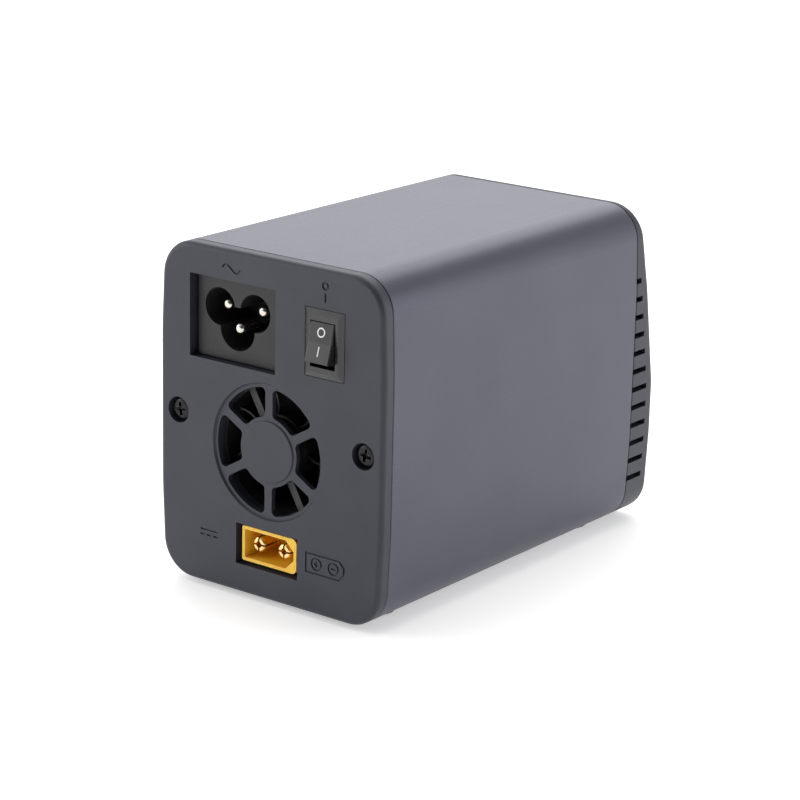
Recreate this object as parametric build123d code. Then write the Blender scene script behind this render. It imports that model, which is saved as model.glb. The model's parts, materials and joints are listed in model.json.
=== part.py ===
"""Mains and battery powered balance charger for model batteries, as an assembly of separate pieces.

Frame: +X to the right seen from the front, +Y to the back, +Z up, millimetres.
The origin is on the surface that the rubber feet stand on, at the middle of the overall box.
The display and the outputs face -Y; the mains inlet, the power switch, the fan and the DC input face +Y.
Depths are counted from the back face towards the front with back(depth).
"""

from build123d import *
import math
import os

# ---------------------------------------------------------------- driving dimensions
BODY_WIDTH = 63.0
BODY_HEIGHT = 77.8
BODY_LENGTH = 107.0
FOOT_HEIGHT = 1.0
BACK_Y = 52.79                       # back face, with the wheel and the rocker standing out to even reach

SIDE_FLAT_HALF = 18.0                # the sides are upright over this much each way from the middle
TOP_HALF_WIDTH = 30.6                # half width of the tapered sides, carried up to the top face
CORNER_RADIUS = 8.5
SIDE_BLEND_RADIUS = 80.0

SLEEVE_WALL = 1.5
BACK_COVER_DEPTH = 3.2
FRONT_SEAM_DEPTH = 97.3
SPIGOT_DEPTH = 3.0
SEAM_GAP = 0.12
SPIGOT_WALL = 1.2
SPIGOT_GAP = 0.1

COVER_WALL = 2.0
COVER_CHAMFER = 0.2                  # on the covers' edges at the seams
FACE_TILT = 9.3                      # degrees, display face
TILT_START_Z = 34.65                 # where the upright front face turns into the tilted one
COVER_EDGE_RADIUS = 1.2
FRONT_EDGE_RADIUS = 1.8

MID_Z = FOOT_HEIGHT + BODY_HEIGHT / 2
TOP_Z = FOOT_HEIGHT + BODY_HEIGHT
SCREW_X = 26.1

# back face features: centres as (x, z)
INLET_WINDOW = (24.4, 18.8)
INLET_WINDOW_AT = (10.5, 62.55)
INLET_FACE_DEPTH = 1.9
INLET_BODY_AT = (10.2, 62.55)
INLET_AT = (10.55, 62.65)               # the middle of the three poles
SWITCH_AT = (-15.3, 62.46)
FAN_AT = (0.35, 35.25)
DC_INPUT_AT = (0.28, 12.63)
DC_WINDOW = (17.6, 9.5)
DC_WINDOW_AT = (0.3, 12.53)
DC_FACE_DEPTH = 0.9
POLARITY_AT = (-16.2, 12.83)
MAINS_MARK_AT = (10.8, 74.6)
DIRECT_MARK_AT = (17.0, 13.0)
SWITCH_MARK_AT = (-15.3, 74.0)
GROOVE_DEPTH = 0.3
GROOVE_WIDTH = 0.45

# front face features
WHEEL_AT = (0.0, 29.2)
WHEEL_RADIUS = 4.5
WHEEL_PROUD = 1.5
BUTTON_X = 20.0
BUTTON_Z = 29.8
BALANCE_X = 18.3
BALANCE_Z = 22.0
OUTPUT_X = 17.8
OUTPUT_Z = 12.55
USB_Z = 19.6

# boards
MAIN_BOARD_TOP = 8.5
AC_BOARD_TOP = 53.8
BOARD_THICKNESS = 1.6
UI_BOARD_DEPTH = 97.5                # back face of the board that carries the keys and the wheel
UI_BOARD_FRONT = UI_BOARD_DEPTH + BOARD_THICKNESS

FOOT_X = 20.0

EPS = 0.02
PARTS = "parts"


# ---------------------------------------------------------------- helpers
def back(depth):
    """Y of a place at this depth in front of the back face."""
    return BACK_Y - depth


def facing_back(x, z, depth):
    """A plane parallel to the back face, with axes +X and +Z, whose extrusions run to the front."""
    return Plane(origin=(x, back(depth), z), x_dir=(1, 0, 0), z_dir=(0, -1, 0))


def run(sketch, depth_from, depth_to, x=0.0, z=0.0):
    """A sketch in X and Z, extruded between two depths."""
    return extrude(facing_back(x, z, depth_from) * sketch, amount=depth_to - depth_from)


def block(x0, x1, depth0, depth1, z0, z1):
    """An upright box between two x, two depths and two heights."""
    return Pos((x0 + x1) / 2, (back(depth0) + back(depth1)) / 2, (z0 + z1) / 2) * Box(
        x1 - x0, depth1 - depth0, z1 - z0
    )


def rod(radius, depth0, depth1, x, z):
    """A round bar along Y."""
    return run(Circle(radius), depth0, depth1, x, z)


def pillar(radius, x, y, z0, z1):
    """A round bar along Z."""
    return Pos(x, y, (z0 + z1) / 2) * Cylinder(radius, z1 - z0)


def cross_rod(radius, x0, x1, y, z):
    """A round bar along X."""
    return Pos((x0 + x1) / 2, y, z) * Rot(0, 90, 0) * Cylinder(radius, x1 - x0)


def outline(inset=0.0):
    """The body's section about its middle: upright sides that taper slightly to round corners."""
    half_w, half_h = BODY_WIDTH / 2, BODY_HEIGHT / 2
    upper = [(half_w, SIDE_FLAT_HALF), (TOP_HALF_WIDTH, half_h)]
    right = [(x, -z) for x, z in reversed(upper)] + upper
    left = [(-x, z) for x, z in reversed(right)]
    face = make_face(Polyline(*right, *left, close=True))
    corners = [v for v in face.vertices() if abs(abs(v.Y) - half_h) < EPS]
    face = fillet(corners, CORNER_RADIUS)
    kinks = [v for v in face.vertices() if abs(abs(v.Y) - SIDE_FLAT_HALF) < EPS]
    face = fillet(kinks, SIDE_BLEND_RADIUS)
    return offset(face, -inset) if inset else face


def body_run(inset, depth_from, depth_to):
    """The body's section, inset, between two depths."""
    return run(outline(inset), depth_from, depth_to, 0, MID_Z)


def edges_on_plane_y(shape, depth):
    """Edges that lie in the plane at a depth."""
    y = back(depth)
    return [
        e for e in shape.edges()
        if abs(e.bounding_box().min.Y - y) < EPS and abs(e.bounding_box().max.Y - y) < EPS
    ]


def save(name, *shapes):
    """Writes one node from one or more solids."""
    solids = [s for shape in shapes for s in shape.solids()]
    whole = solids[0] if len(solids) == 1 else Compound(children=solids)
    whole.label = name
    export_step(whole, os.path.join(PARTS, name + ".step"))


# ---------------------------------------------------------------- casing
def card_guides(board_top, reach, root):
    """Four ribs of the sleeve's section that hold a board's two long edges."""
    gap = 0.1
    lower = board_top - BOARD_THICKNESS - gap - GUIDE_RIB / 2 - MID_Z
    upper = board_top + gap + GUIDE_RIB / 2 - MID_Z
    middle = (reach + root) / 2
    return [
        Pos(side * middle, z) * Rectangle(root - reach, GUIDE_RIB)
        for side in (-1, 1) for z in (lower, upper)
    ]


MAIN_GUIDE_REACH, MAIN_GUIDE_ROOT = 25.9, 29.6
AC_GUIDE_REACH, AC_GUIDE_ROOT = 28.5, 30.6
GUIDE_RIB = 1.0
CHANNEL_RADIUS = 2.9
CHANNEL_WEB = (4.4, 3.2)
PILOT_RADIUS = 1.25
SLEEVE_CHAMFER = 0.15


def housing_sleeve():
    """Extruded aluminium tube with two screw channels and two pairs of card guides."""
    outer = outline()
    section = outer - outline(SLEEVE_WALL)
    section += card_guides(MAIN_BOARD_TOP, MAIN_GUIDE_REACH, MAIN_GUIDE_ROOT)
    section += card_guides(AC_BOARD_TOP, AC_GUIDE_REACH, AC_GUIDE_ROOT)
    for side in (-1, 1):
        section += Pos(side * SCREW_X, 0) * Circle(CHANNEL_RADIUS)
        section += Pos(side * (SCREW_X + CHANNEL_WEB[0] / 2), 0) * Rectangle(*CHANNEL_WEB)
    section = section & outer
    for side in (-1, 1):
        section -= Pos(side * SCREW_X, 0) * Circle(PILOT_RADIUS)
    tube = run(section, BACK_COVER_DEPTH + SEAM_GAP, FRONT_SEAM_DEPTH - SEAM_GAP, 0, MID_Z)
    ends = tube.faces().sort_by(Axis.Y)
    rims = ends[0].outer_wire().edges() + ends[-1].outer_wire().edges()
    return chamfer(rims, SLEEVE_CHAMFER)


def spigot(depth_from, depth_to):
    """The lip that a cover pushes into the sleeve, cut away round the channels and card guides."""
    outer = SLEEVE_WALL + SPIGOT_GAP
    ring = body_run(outer, depth_from, depth_to) - body_run(outer + SPIGOT_WALL, depth_from, depth_to)
    half = BODY_WIDTH / 2
    gaps = [
        (MID_Z - 4.0, MID_Z + 4.0),
        (AC_BOARD_TOP - BOARD_THICKNESS - 1.5, AC_BOARD_TOP + 1.5),
        (MAIN_BOARD_TOP - BOARD_THICKNESS - 1.5, MAIN_BOARD_TOP + 1.5),
    ]
    for z0, z1 in gaps:
        ring -= block(-half, half, depth_from, depth_to, z0, z1)
    return ring


GRILLE_DISH_RADIUS = 15.6
GRILLE_DEPTH = 0.5
GRILLE_THICKNESS = 1.3
HUB_RISE = 0.3
VENT_OUTER, VENT_INNER = 14.55, 7.9
VENT_CORNER = 1.2
HUB_RADIUS = 7.0
SPOKE_WIDTH = 2.0
SCREW_HEAD_RADIUS = 2.7
SCREW_CLEARANCE = 1.65
COUNTERBORE = 3.0
BACK_SCREW_SEAT = 1.9
FRONT_SCREW_SEAT = 103.1


def grille_openings():
    """Six openings between a hub and a rim, with round corners."""
    ring = Circle(VENT_OUTER) - Circle(VENT_INNER)
    for angle in (30, 90, 150):
        ring -= Rot(0, 0, angle) * Rectangle(2 * VENT_OUTER + 2, SPOKE_WIDTH)
    return fillet(ring.vertices(), VENT_CORNER)


def mains_mark():
    """A wave for alternating current, as a narrow groove."""
    wave = Spline(
        *[(x, 0.8 * math.sin(2 * math.pi * x / 5.0)) for x in (-2.5, -1.25, 0, 1.25, 2.5)]
    )
    return trace(wave, GROOVE_WIDTH)


def direct_mark():
    """A bar over three dashes for direct current."""
    bar = Pos(0, 0.6) * Rectangle(5.0, GROOVE_WIDTH)
    dashes = [Pos(x, -0.6) * Rectangle(1.2, GROOVE_WIDTH) for x in (-1.9, 0, 1.9)]
    return [bar, *dashes]


def plug_outline(width, height, cut, corner=0.5):
    """The outline of the two-pole battery plug: a rectangle with two cut corners at its -X end."""
    w, h = width / 2, height / 2
    face = make_face(Polyline(
        (w, h), (-w + cut, h), (-w, h - cut), (-w, -h + cut), (-w + cut, -h), (w, -h), close=True
    ))
    return fillet(face.vertices(), corner)


def polarity_mark():
    """The battery plug's outline with a plus and a minus, as narrow grooves."""
    line = GROOVE_WIDTH
    outer = plug_outline(11.0, 4.8, 1.5, 0.3)
    marks = [outer - offset(outer, -line)]
    for x, upright in ((2.35, True), (-2.35, False)):
        marks.append(Pos(x, 0) * (Circle(1.55) - Circle(1.55 - line)))
        marks.append(Pos(x, 0) * Rectangle(1.3, line))
        if upright:
            marks.append(Pos(x, 0) * Rectangle(line, 1.3))
    return marks


def switch_mark():
    """A ring over a bar: off at the top, on at the bottom."""
    ring = Circle(0.95) - Circle(0.95 - GROOVE_WIDTH)
    return [Pos(0, 1.2) * ring, Pos(0, -1.4) * Rectangle(GROOVE_WIDTH, 1.9)]


def back_cover():
    """Moulded back panel: windows for inlet, switch and DC input, the fan grille, the screw seats."""
    plate = body_run(0, 0, BACK_COVER_DEPTH)
    plate = fillet(edges_on_plane_y(plate, 0), COVER_EDGE_RADIUS)
    plate = chamfer(edges_on_plane_y(plate, BACK_COVER_DEPTH), COVER_CHAMFER)
    plate += spigot(BACK_COVER_DEPTH, BACK_COVER_DEPTH + SPIGOT_DEPTH)

    collar = Rectangle(INLET_WINDOW[0] + 2 * COLLAR_WALL, INLET_WINDOW[1] + 2 * COLLAR_WALL)
    plate += run(collar, BACK_COVER_DEPTH, COLLAR_DEPTH, *INLET_WINDOW_AT)
    plate -= run(Rectangle(*INLET_WINDOW), -1, COLLAR_DEPTH, *INLET_WINDOW_AT)
    plate -= run(Rectangle(*SWITCH_CUT), -1, BACK_COVER_DEPTH, *SWITCH_AT)
    seat = Rectangle(SWITCH_BEZEL[0] + 2 * BEZEL_GAP, SWITCH_BEZEL[1] + 2 * BEZEL_GAP)
    plate -= run(seat, -1, BEZEL_SEAT, *SWITCH_AT)
    plate -= run(Rectangle(*DC_WINDOW), -1, BACK_COVER_DEPTH + SPIGOT_DEPTH, *DC_WINDOW_AT)

    fan_x, fan_z = FAN_AT
    dish = extrude(facing_back(fan_x, fan_z, 0) * Circle(GRILLE_DISH_RADIUS), GRILLE_DEPTH, taper=32)
    hub_face = GRILLE_DEPTH - HUB_RISE
    dish -= rod(HUB_RADIUS, hub_face, GRILLE_DEPTH, fan_x, fan_z)
    plate -= dish
    plate -= rod(VENT_OUTER + 0.2, GRILLE_DEPTH + GRILLE_THICKNESS, BACK_COVER_DEPTH, fan_x, fan_z)
    plate -= run(grille_openings(), -1, BACK_COVER_DEPTH + 1, fan_x, fan_z)
    rims = [
        e for e in plate.edges().filter_by(GeomType.CIRCLE)
        if abs(e.radius - HUB_RADIUS) < EPS and abs(e.center().Y - back(hub_face)) < EPS
    ]
    plate = fillet(rims, HUB_RISE - EPS)

    for side in (-1, 1):
        plate -= rod(COUNTERBORE, -1, BACK_SCREW_SEAT, side * SCREW_X, MID_Z)
        plate -= rod(SCREW_CLEARANCE, 0, BACK_COVER_DEPTH + SPIGOT_DEPTH, side * SCREW_X, MID_Z)
        plate -= rod(FAN_PILOT, 1.0, BACK_COVER_DEPTH, fan_x + side * FAN_HOLE, fan_z + side * FAN_HOLE)

    for mark, x, z in (
        ([mains_mark()], *MAINS_MARK_AT), (direct_mark(), *DIRECT_MARK_AT),
        (polarity_mark(), *POLARITY_AT), (switch_mark(), *SWITCH_MARK_AT),
    ):
        for shape in mark:
            plate -= run(shape, -1, GROOVE_DEPTH, x, z)
    return plate


def tilted(x=0.0, up=0.0, inward=0.0):
    """A plane on the tilted display face, +Y up the slope, facing out; inward sinks it."""
    angle = math.radians(FACE_TILT)
    out = Vector(0, -math.cos(angle), math.sin(angle))
    slope = Vector(0, math.sin(angle), math.cos(angle))
    origin = Vector(x, back(BODY_LENGTH), TILT_START_Z) + slope * up - out * inward
    return Plane(origin=origin, x_dir=(1, 0, 0), z_dir=out)


def front_block(inset, seam):
    """The front cover's outer form, inset, from a seam depth to the upright and the tilted face."""
    form = body_run(inset, seam, BODY_LENGTH - inset)
    cut = extrude(tilted(inward=inset) * Rectangle(200, 200), amount=60)
    return form - cut


VENT_PITCH = 4.45
VENT_COUNT = 12
VENT_HEIGHT = 1.3
VENT_TOP_Z = 60.9
VENT_FROM_FACE = 3.5
LENS_INSET = 2.2
LENS_FROM = 1.8
LENS_THICKNESS = 1.0
SCREEN = (47.0, 35.4)
SCREEN_UP = 21.6
BUTTON = (10.0, 4.6)


def face_depth(z):
    """Depth of the front face at a height."""
    return BODY_LENGTH - max(0.0, z - TILT_START_Z) * math.tan(math.radians(FACE_TILT))


def lens_form(inset, thickness, start):
    """A plate that lies in the display face and follows the body's outline."""
    slab = extrude(tilted(inward=thickness) * Rectangle(200, 200), amount=thickness)
    slab = slab & body_run(inset, FRONT_SEAM_DEPTH, BODY_LENGTH + 5)
    below = extrude(tilted(up=start - 50, inward=5) * Rectangle(200, 100), amount=10)
    slab -= below
    corners = slab.edges().filter_by(
        lambda e: e.length < thickness + EPS and e.center().Z < TILT_START_Z + start + 1.0
    )
    return fillet(corners, 2.0)


def front_cover():
    """Moulded front: display face, key, wheel and socket openings, and a comb of vents down each side."""
    form = front_block(0, FRONT_SEAM_DEPTH)
    kink = [e for e in form.edges() if abs(e.center().Z - TILT_START_Z) < 0.1 and e.length > 50]
    form = fillet(kink, 10.0)
    seam_edges = edges_on_plane_y(form, FRONT_SEAM_DEPTH)
    front_edges = [
        e for e in form.edges()
        if e not in seam_edges and e.center().Y < back(FRONT_SEAM_DEPTH) - 1.5
        and not (e.bounding_box().size.X > 50 and abs(e.center().Z - TILT_START_Z) < 3)
        and e.bounding_box().size.Y < 8.5
        and not is_side_seam(e)
    ]
    form = fillet(front_edges, FRONT_EDGE_RADIUS)
    form = chamfer(edges_on_plane_y(form, FRONT_SEAM_DEPTH), COVER_CHAMFER)

    form -= front_block(COVER_WALL, FRONT_SEAM_DEPTH - 1)
    form += spigot(FRONT_SEAM_DEPTH - SPIGOT_DEPTH, FRONT_SEAM_DEPTH)
    form += spigot_root()

    for side in (-1, 1):
        form += rod(3.1, FRONT_SEAM_DEPTH, BODY_LENGTH - 1.6, side * SCREW_X, MID_Z)
        form += rod(1.7, UI_BOARD_FRONT, BODY_LENGTH - 1.0, side * UI_POST_X, UI_POST_Z)
        shroud = run(plug_outline(18.8, 11.0, 2.4), UI_BOARD_FRONT + 0.1, BODY_LENGTH - 1.0)
        form += Pos(side * OUTPUT_X, 0, OUTPUT_Z) * shroud
    form -= extrude(tilted() * Rectangle(200, 200), amount=20)

    form -= lens_form(LENS_INSET - 0.1, LENS_THICKNESS + 0.05, LENS_FROM - 0.1)
    form -= extrude(tilted(up=SCREEN_UP, inward=8) * RectangleRounded(*SCREEN, 1.5), amount=10)

    form -= run(RectangleRounded(10.4, 9.8, 1.2), BODY_LENGTH - 5, BODY_LENGTH + 1, *WHEEL_AT)
    form -= run(RectangleRounded(9.5, 3.9, 1.9), BODY_LENGTH - 5, BODY_LENGTH + 1, 0, USB_Z)
    for side in (-1, 1):
        form -= rod(1.6, FRONT_SEAM_DEPTH - 5, BODY_LENGTH + 1, side * SCREW_X, MID_Z)
        form -= rod(2.75, FRONT_SCREW_SEAT, BODY_LENGTH + 1, side * SCREW_X, MID_Z)
        form -= rod(0.8, UI_BOARD_FRONT - 1, UI_BOARD_FRONT + 4.5, side * UI_POST_X, UI_POST_Z)
        key = RectangleRounded(BUTTON[0] + 0.4, BUTTON[1] + 0.4, 2.4)
        form -= run(key, BODY_LENGTH - 5, BODY_LENGTH + 1, side * BUTTON_X, BUTTON_Z)
        socket = RectangleRounded(BALANCE_SIZE[0] + 0.4, BALANCE_SIZE[1] + 0.4, 0.5)
        form -= run(socket, BODY_LENGTH - 5, BODY_LENGTH + 1, side * BALANCE_X, BALANCE_Z)
        port = run(plug_outline(16.6, 9.0, 1.9), UI_BOARD_FRONT - 1, BODY_LENGTH + 1)
        form -= Pos(side * OUTPUT_X, 0, OUTPUT_Z) * port
        for n in range(VENT_COUNT):
            z = VENT_TOP_Z - n * VENT_PITCH
            reach = face_depth(z) - VENT_FROM_FACE
            x0, x1 = sorted((side * 28.0, side * 33.0))
            form -= block(x0, x1, FRONT_SEAM_DEPTH - 0.01, reach, z - VENT_HEIGHT / 2, z + VENT_HEIGHT / 2)
    return form


def is_side_seam(edge):
    """True for the short joins along Y on the cover's sides, which get no rounding."""
    box = edge.bounding_box()
    return box.size.Y > 1.0 and box.size.X < 0.3 and box.size.Z < 0.3


def spigot_root():
    """The step that joins the front cover's wall to its lip."""
    end = FRONT_SEAM_DEPTH + SPIGOT_WALL
    step = body_run(COVER_WALL - 0.2, FRONT_SEAM_DEPTH, end)
    step -= body_run(SLEEVE_WALL + SPIGOT_GAP + SPIGOT_WALL, FRONT_SEAM_DEPTH, end)
    half = BODY_WIDTH / 2
    vents = block(-half, half, 0, BODY_LENGTH, VENT_TOP_Z - (VENT_COUNT - 0.5) * VENT_PITCH, VENT_TOP_Z + 2)
    return step - vents


# ---------------------------------------------------------------- screws
def pan_screw(head_radius, head_height, shank_radius, length, slot):
    """A cross-recess screw along +Z: its seat at the origin, its head above, its shank below."""
    head = Pos(0, 0, head_height / 2) * Cylinder(head_radius, head_height)
    head = fillet(head.edges().sort_by(Axis.Z)[-1], head_height * 0.5)
    screw = head + Pos(0, 0, -length / 2) * Cylinder(shank_radius, length)
    for angle in (0, 90):
        screw -= Pos(0, 0, head_height) * Rot(0, 0, angle) * Box(slot * 3.8, slot, head_height * 1.1)
    return screw


def placed(shape, x, depth, z, to_back=True):
    """Turns a shape's +Z to the back face, or to the front, at a depth."""
    turn = Rot(-90, 0, 0) if to_back else Rot(90, 0, 0)
    return Pos(x, back(depth), z) * turn * shape


UI_POST_X, UI_POST_Z = 12.2, 31.0


def screws():
    """The casing, fan and key-board screws, each kind in one node."""
    casing = pan_screw(SCREW_HEAD_RADIUS, 1.2, PILOT_RADIUS - 0.02, 9.0, 0.9)
    save("back_cover_screws", *[
        placed(casing, side * SCREW_X, BACK_SCREW_SEAT, MID_Z) for side in (-1, 1)
    ])
    save("front_cover_screws", *[
        placed(casing, side * SCREW_X, FRONT_SCREW_SEAT, MID_Z, to_back=False) for side in (-1, 1)
    ])
    fan = pan_screw(2.0, 1.1, FAN_PILOT - 0.03, 11.6, 0.65)
    fan_seat = FAN_BACK_DEPTH + FAN_DEPTH + EPS
    save("fan_screws", *[
        placed(fan, FAN_AT[0] + offset_xz, fan_seat, FAN_AT[1] + offset_xz, to_back=False)
        for offset_xz in (-FAN_HOLE, FAN_HOLE)
    ])
    board = pan_screw(1.5, 0.9, 0.78, 5.0, 0.5)
    save("key_board_screws", *[
        placed(board, side * UI_POST_X, UI_BOARD_DEPTH - EPS, UI_POST_Z) for side in (-1, 1)
    ])


# ---------------------------------------------------------------- mains inlet and switch
LOBES = ((-5.0, 2.45, 4.25), (5.0, 2.45, 4.25), (0.0, -1.85, 4.9))     # x, z, radius about INLET_AT
INLET_BODY = (23.2, 18.2)
INLET_DEPTH = 16.0
PIN_RADIUS = 1.25
LINE_PIN_DEPTH, EARTH_PIN_DEPTH = 4.0, 2.2
COLLAR_DEPTH, COLLAR_WALL = 5.0, 1.0


def clover():
    """The three-lobed mouth of the mains inlet."""
    shape = make_face(Polyline(*[(x, z - (0.7 if z > 0 else 0)) for x, z, _ in LOBES], close=True))
    for x, z, radius in LOBES:
        shape += Pos(x, z) * Circle(radius)
    return shape


def mains_inlet():
    """Three-pole inlet: a moulded body with a flange behind the panel, and three round pins."""
    face = INLET_FACE_DEPTH
    floor = face + 12.5
    body = run(RectangleRounded(*INLET_BODY, 0.4), face, COLLAR_DEPTH + 0.1, *INLET_BODY_AT)
    body += run(RectangleRounded(26.6, 20.6, 0.8), COLLAR_DEPTH + EPS, COLLAR_DEPTH + 1.4, *INLET_BODY_AT)
    body += run(RectangleRounded(22.4, 17.4, 1.5), COLLAR_DEPTH + 1.3, face + INLET_DEPTH, *INLET_BODY_AT)
    body -= run(clover(), face - 1, floor, *INLET_AT)
    pins = []
    for (x, z, _), tip in zip(LOBES, (LINE_PIN_DEPTH, LINE_PIN_DEPTH, EARTH_PIN_DEPTH)):
        x, z = x + INLET_AT[0], z + INLET_AT[1]
        pin = rod(PIN_RADIUS, tip, face + INLET_DEPTH, x, z)
        pin = fillet(edges_on_plane_y(pin, tip), 0.9)
        pin += block(x - 1.0, x + 1.0, face + INLET_DEPTH - 0.1, face + INLET_DEPTH + 4.0, z - 0.4, z + 0.4)
        pins.append(pin)
        body -= rod(PIN_RADIUS, floor - 1, face + INLET_DEPTH + 1, x, z)
    save("mains_inlet_body", body)
    save("mains_inlet_pins", *pins)


SWITCH_BEZEL = (10.6, 15.0)
SWITCH_CUT = (8.7, 13.5)
SWITCH_MOUTH = (6.8, 10.2)
BEZEL_PROUD = 0.75
BEZEL_SEAT, BEZEL_GAP = 0.35, 0.15
SWITCH_BODY = (8.4, 13.2)
SWITCH_DEPTH = 12.0
ROCKER_WIDTH = 6.4
ROCKER_HALF = 4.4
ROCKER_RISE = 3.0
ROCKER_TILT = 14.0
ROCKER_PIVOT_DEPTH = 1.0
TRUNNION_RADIUS = 0.8


def switch_housing():
    """Snap-in rocker switch body with a bevelled bezel."""
    x, z = SWITCH_AT
    bezel = extrude(facing_back(x, z, 0) * Rectangle(*SWITCH_BEZEL), amount=-BEZEL_PROUD, taper=58)
    bezel += run(Rectangle(*SWITCH_BEZEL), 0, BEZEL_SEAT - EPS, x, z)
    body = bezel + run(Rectangle(*SWITCH_BODY), 0, SWITCH_DEPTH, x, z)
    body -= run(Rectangle(*SWITCH_MOUTH), -2, 8.0, x, z)
    body -= cross_rod(TRUNNION_RADIUS + 0.06, x - 3.95, x + 3.95, back(ROCKER_PIVOT_DEPTH), z)
    terminals = [
        block(x - 2.4, x + 2.4, SWITCH_DEPTH + 0.02, SWITCH_DEPTH + 6.5, z + dz - 0.4, z + dz + 0.4)
        for dz in (-4.2, 4.2)
    ]
    save("switch_housing", body)
    save("switch_terminals", *terminals)


def switch_rocker():
    """Rocker on two trunnions, at rest with its upper end pressed in."""
    x, z = SWITCH_AT
    drop = 3.2
    profile = make_face(Polyline(
        (-ROCKER_HALF, ROCKER_RISE), (0, ROCKER_RISE - 0.25), (ROCKER_HALF, ROCKER_RISE),
        (ROCKER_HALF - 0.35, 0), (2.2, -drop), (-2.2, -drop), (-ROCKER_HALF + 0.35, 0), close=True
    ))
    corner = (x - ROCKER_WIDTH / 2, back(ROCKER_PIVOT_DEPTH), z)
    side_view = Plane(origin=corner, x_dir=(0, 0, -1), z_dir=(1, 0, 0))
    rocker = extrude(side_view * profile, amount=ROCKER_WIDTH)
    rims = [e for e in rocker.edges() if e.center().Y > back(ROCKER_PIVOT_DEPTH) + ROCKER_RISE - 0.3]
    rocker = fillet(rims, 0.2)
    rocker += cross_rod(TRUNNION_RADIUS, x - 3.85, x + 3.85, back(ROCKER_PIVOT_DEPTH), z)
    pivot = Axis((x, back(ROCKER_PIVOT_DEPTH), z), (1, 0, 0))
    return rocker.rotate(pivot, ROCKER_TILT)


# ---------------------------------------------------------------- battery-plug sockets
PLUG_SIZE = (15.5, 8.1)
PLUG_CUT = 1.5
POLE_SPACING = 7.2
POLE_RADIUS = 1.75


def dc_input():
    """Male input connector at the back: a shroud round two split pins."""
    x, z = DC_INPUT_AT
    rim, floor, end = DC_FACE_DEPTH, DC_FACE_DEPTH + 9.0, DC_FACE_DEPTH + 17.0
    body = run(plug_outline(*PLUG_SIZE, 0.8, 0.5), rim, end)
    cavity = plug_outline(PLUG_SIZE[0] - 1.5, PLUG_SIZE[1] - 1.5, 2.3, 0.3)
    body -= run(cavity, rim - 1, floor)
    pins = []
    for side in (-1, 1):
        px = side * POLE_SPACING / 2 + 0.3
        pin = rod(POLE_RADIUS, rim + 1.1, end + 3.0, px, 0)
        pin = fillet(edges_on_plane_y(pin, rim + 1.1), 0.5)
        pin -= rod(0.75, rim, rim + 7.0, px, 0)
        for angle in (0, 90):
            slit = Rot(0, 0, angle) * Rectangle(2 * POLE_RADIUS + 1, 0.45)
            pin -= run(slit, rim, rim + 6.5, px, 0)
        body -= rod(POLE_RADIUS, floor - 1, end + 1, px, 0)
        pins.append(Pos(x, 0, z) * pin)
    save("dc_input_housing", Pos(x, 0, z) * body)
    save("dc_input_pins", *pins)


def output_sockets():
    """Two female output connectors at the front: a nose with two hollow contacts each."""
    root, step, tip = 90.0, UI_BOARD_FRONT + 0.0, BODY_LENGTH - 0.5
    for name, side in (("left", -1), ("right", 1)):
        nose = plug_outline(PLUG_SIZE[0] - 2.1, PLUG_SIZE[1] - 2.1, 1.9, 0.3)
        body = run(plug_outline(*PLUG_SIZE, PLUG_CUT, 0.6), root, step) + run(nose, step - 0.1, tip)
        tubes = []
        for pole in (-1, 1):
            px = pole * POLE_SPACING / 2 + 0.3
            body -= rod(2.15, root - 1, tip + 1, px, 0)
            tube = rod(2.15, root - 3.0, tip - 0.6, px, 0) - rod(POLE_RADIUS + 0.05, root + 6.0, tip, px, 0)
            tubes.append(Pos(side * OUTPUT_X, 0, OUTPUT_Z) * tube)
        save(name + "_output_housing", Pos(side * OUTPUT_X, 0, OUTPUT_Z) * body)
        save(name + "_output_contacts", *tubes)


BALANCE_SIZE = (19.8, 5.8)
BALANCE_POLES = 7
BALANCE_PITCH = 2.5


def balance_sockets():
    """Two seven-pole balance headers with a slotted wall and square pins."""
    foot, mouth = UI_BOARD_FRONT + EPS, BODY_LENGTH - 0.6
    for name, side in (("left", -1), ("right", 1)):
        x = side * BALANCE_X
        body = run(RectangleRounded(*BALANCE_SIZE, 0.3), foot, mouth, x, BALANCE_Z)
        cavity = Rectangle(BALANCE_SIZE[0] - 1.6, BALANCE_SIZE[1] - 1.5)
        body -= run(cavity, foot + 1.2, mouth + 1, x, BALANCE_Z)
        for dx in (-5.0, 5.0):
            body -= block(x + dx - 1.0, x + dx + 1.0, foot + 1.2, mouth + 1, BALANCE_Z, BALANCE_Z + 4)
        pins = []
        for n in range(BALANCE_POLES):
            px = x + (n - (BALANCE_POLES - 1) / 2) * BALANCE_PITCH
            pin = block(px - 0.32, px + 0.32, foot, mouth - 1.8, BALANCE_Z - 0.32, BALANCE_Z + 0.32)
            body -= pin
            pins.append(pin)
        save(name + "_balance_housing", body)
        save(name + "_balance_pins", *pins)


def usb_port():
    """Update and power port: a folded shell and its contact tongue."""
    foot, mouth = UI_BOARD_FRONT + EPS, BODY_LENGTH - 0.3
    ring = RectangleRounded(8.94, 3.26, 1.6) - RectangleRounded(8.34, 2.66, 1.3)
    shell = run(ring, foot, mouth, 0, USB_Z)
    tongue = run(RectangleRounded(8.3, 2.6, 1.25), foot, foot + 1.5, 0, USB_Z)
    tongue += run(Rectangle(6.7, 0.7), foot + 1.4, mouth - 0.9, 0, USB_Z)
    save("usb_shell", shell)
    save("usb_tongue", tongue)


# ---------------------------------------------------------------- fan
FAN_SIZE = 30.0
FAN_DEPTH = 10.0
FAN_HOLE = 12.0
FAN_PILOT = 0.95
FAN_BORE = 14.4
FAN_BACK_DEPTH = 3.3
FAN_HUB_RADIUS = 7.3
BLADE_TIP = 13.9
BLADES = 7
STRUT_DEPTH = 1.2
STRUT_ANGLES = (60, 150)
SHAFT_RADIUS = 0.75


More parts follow.
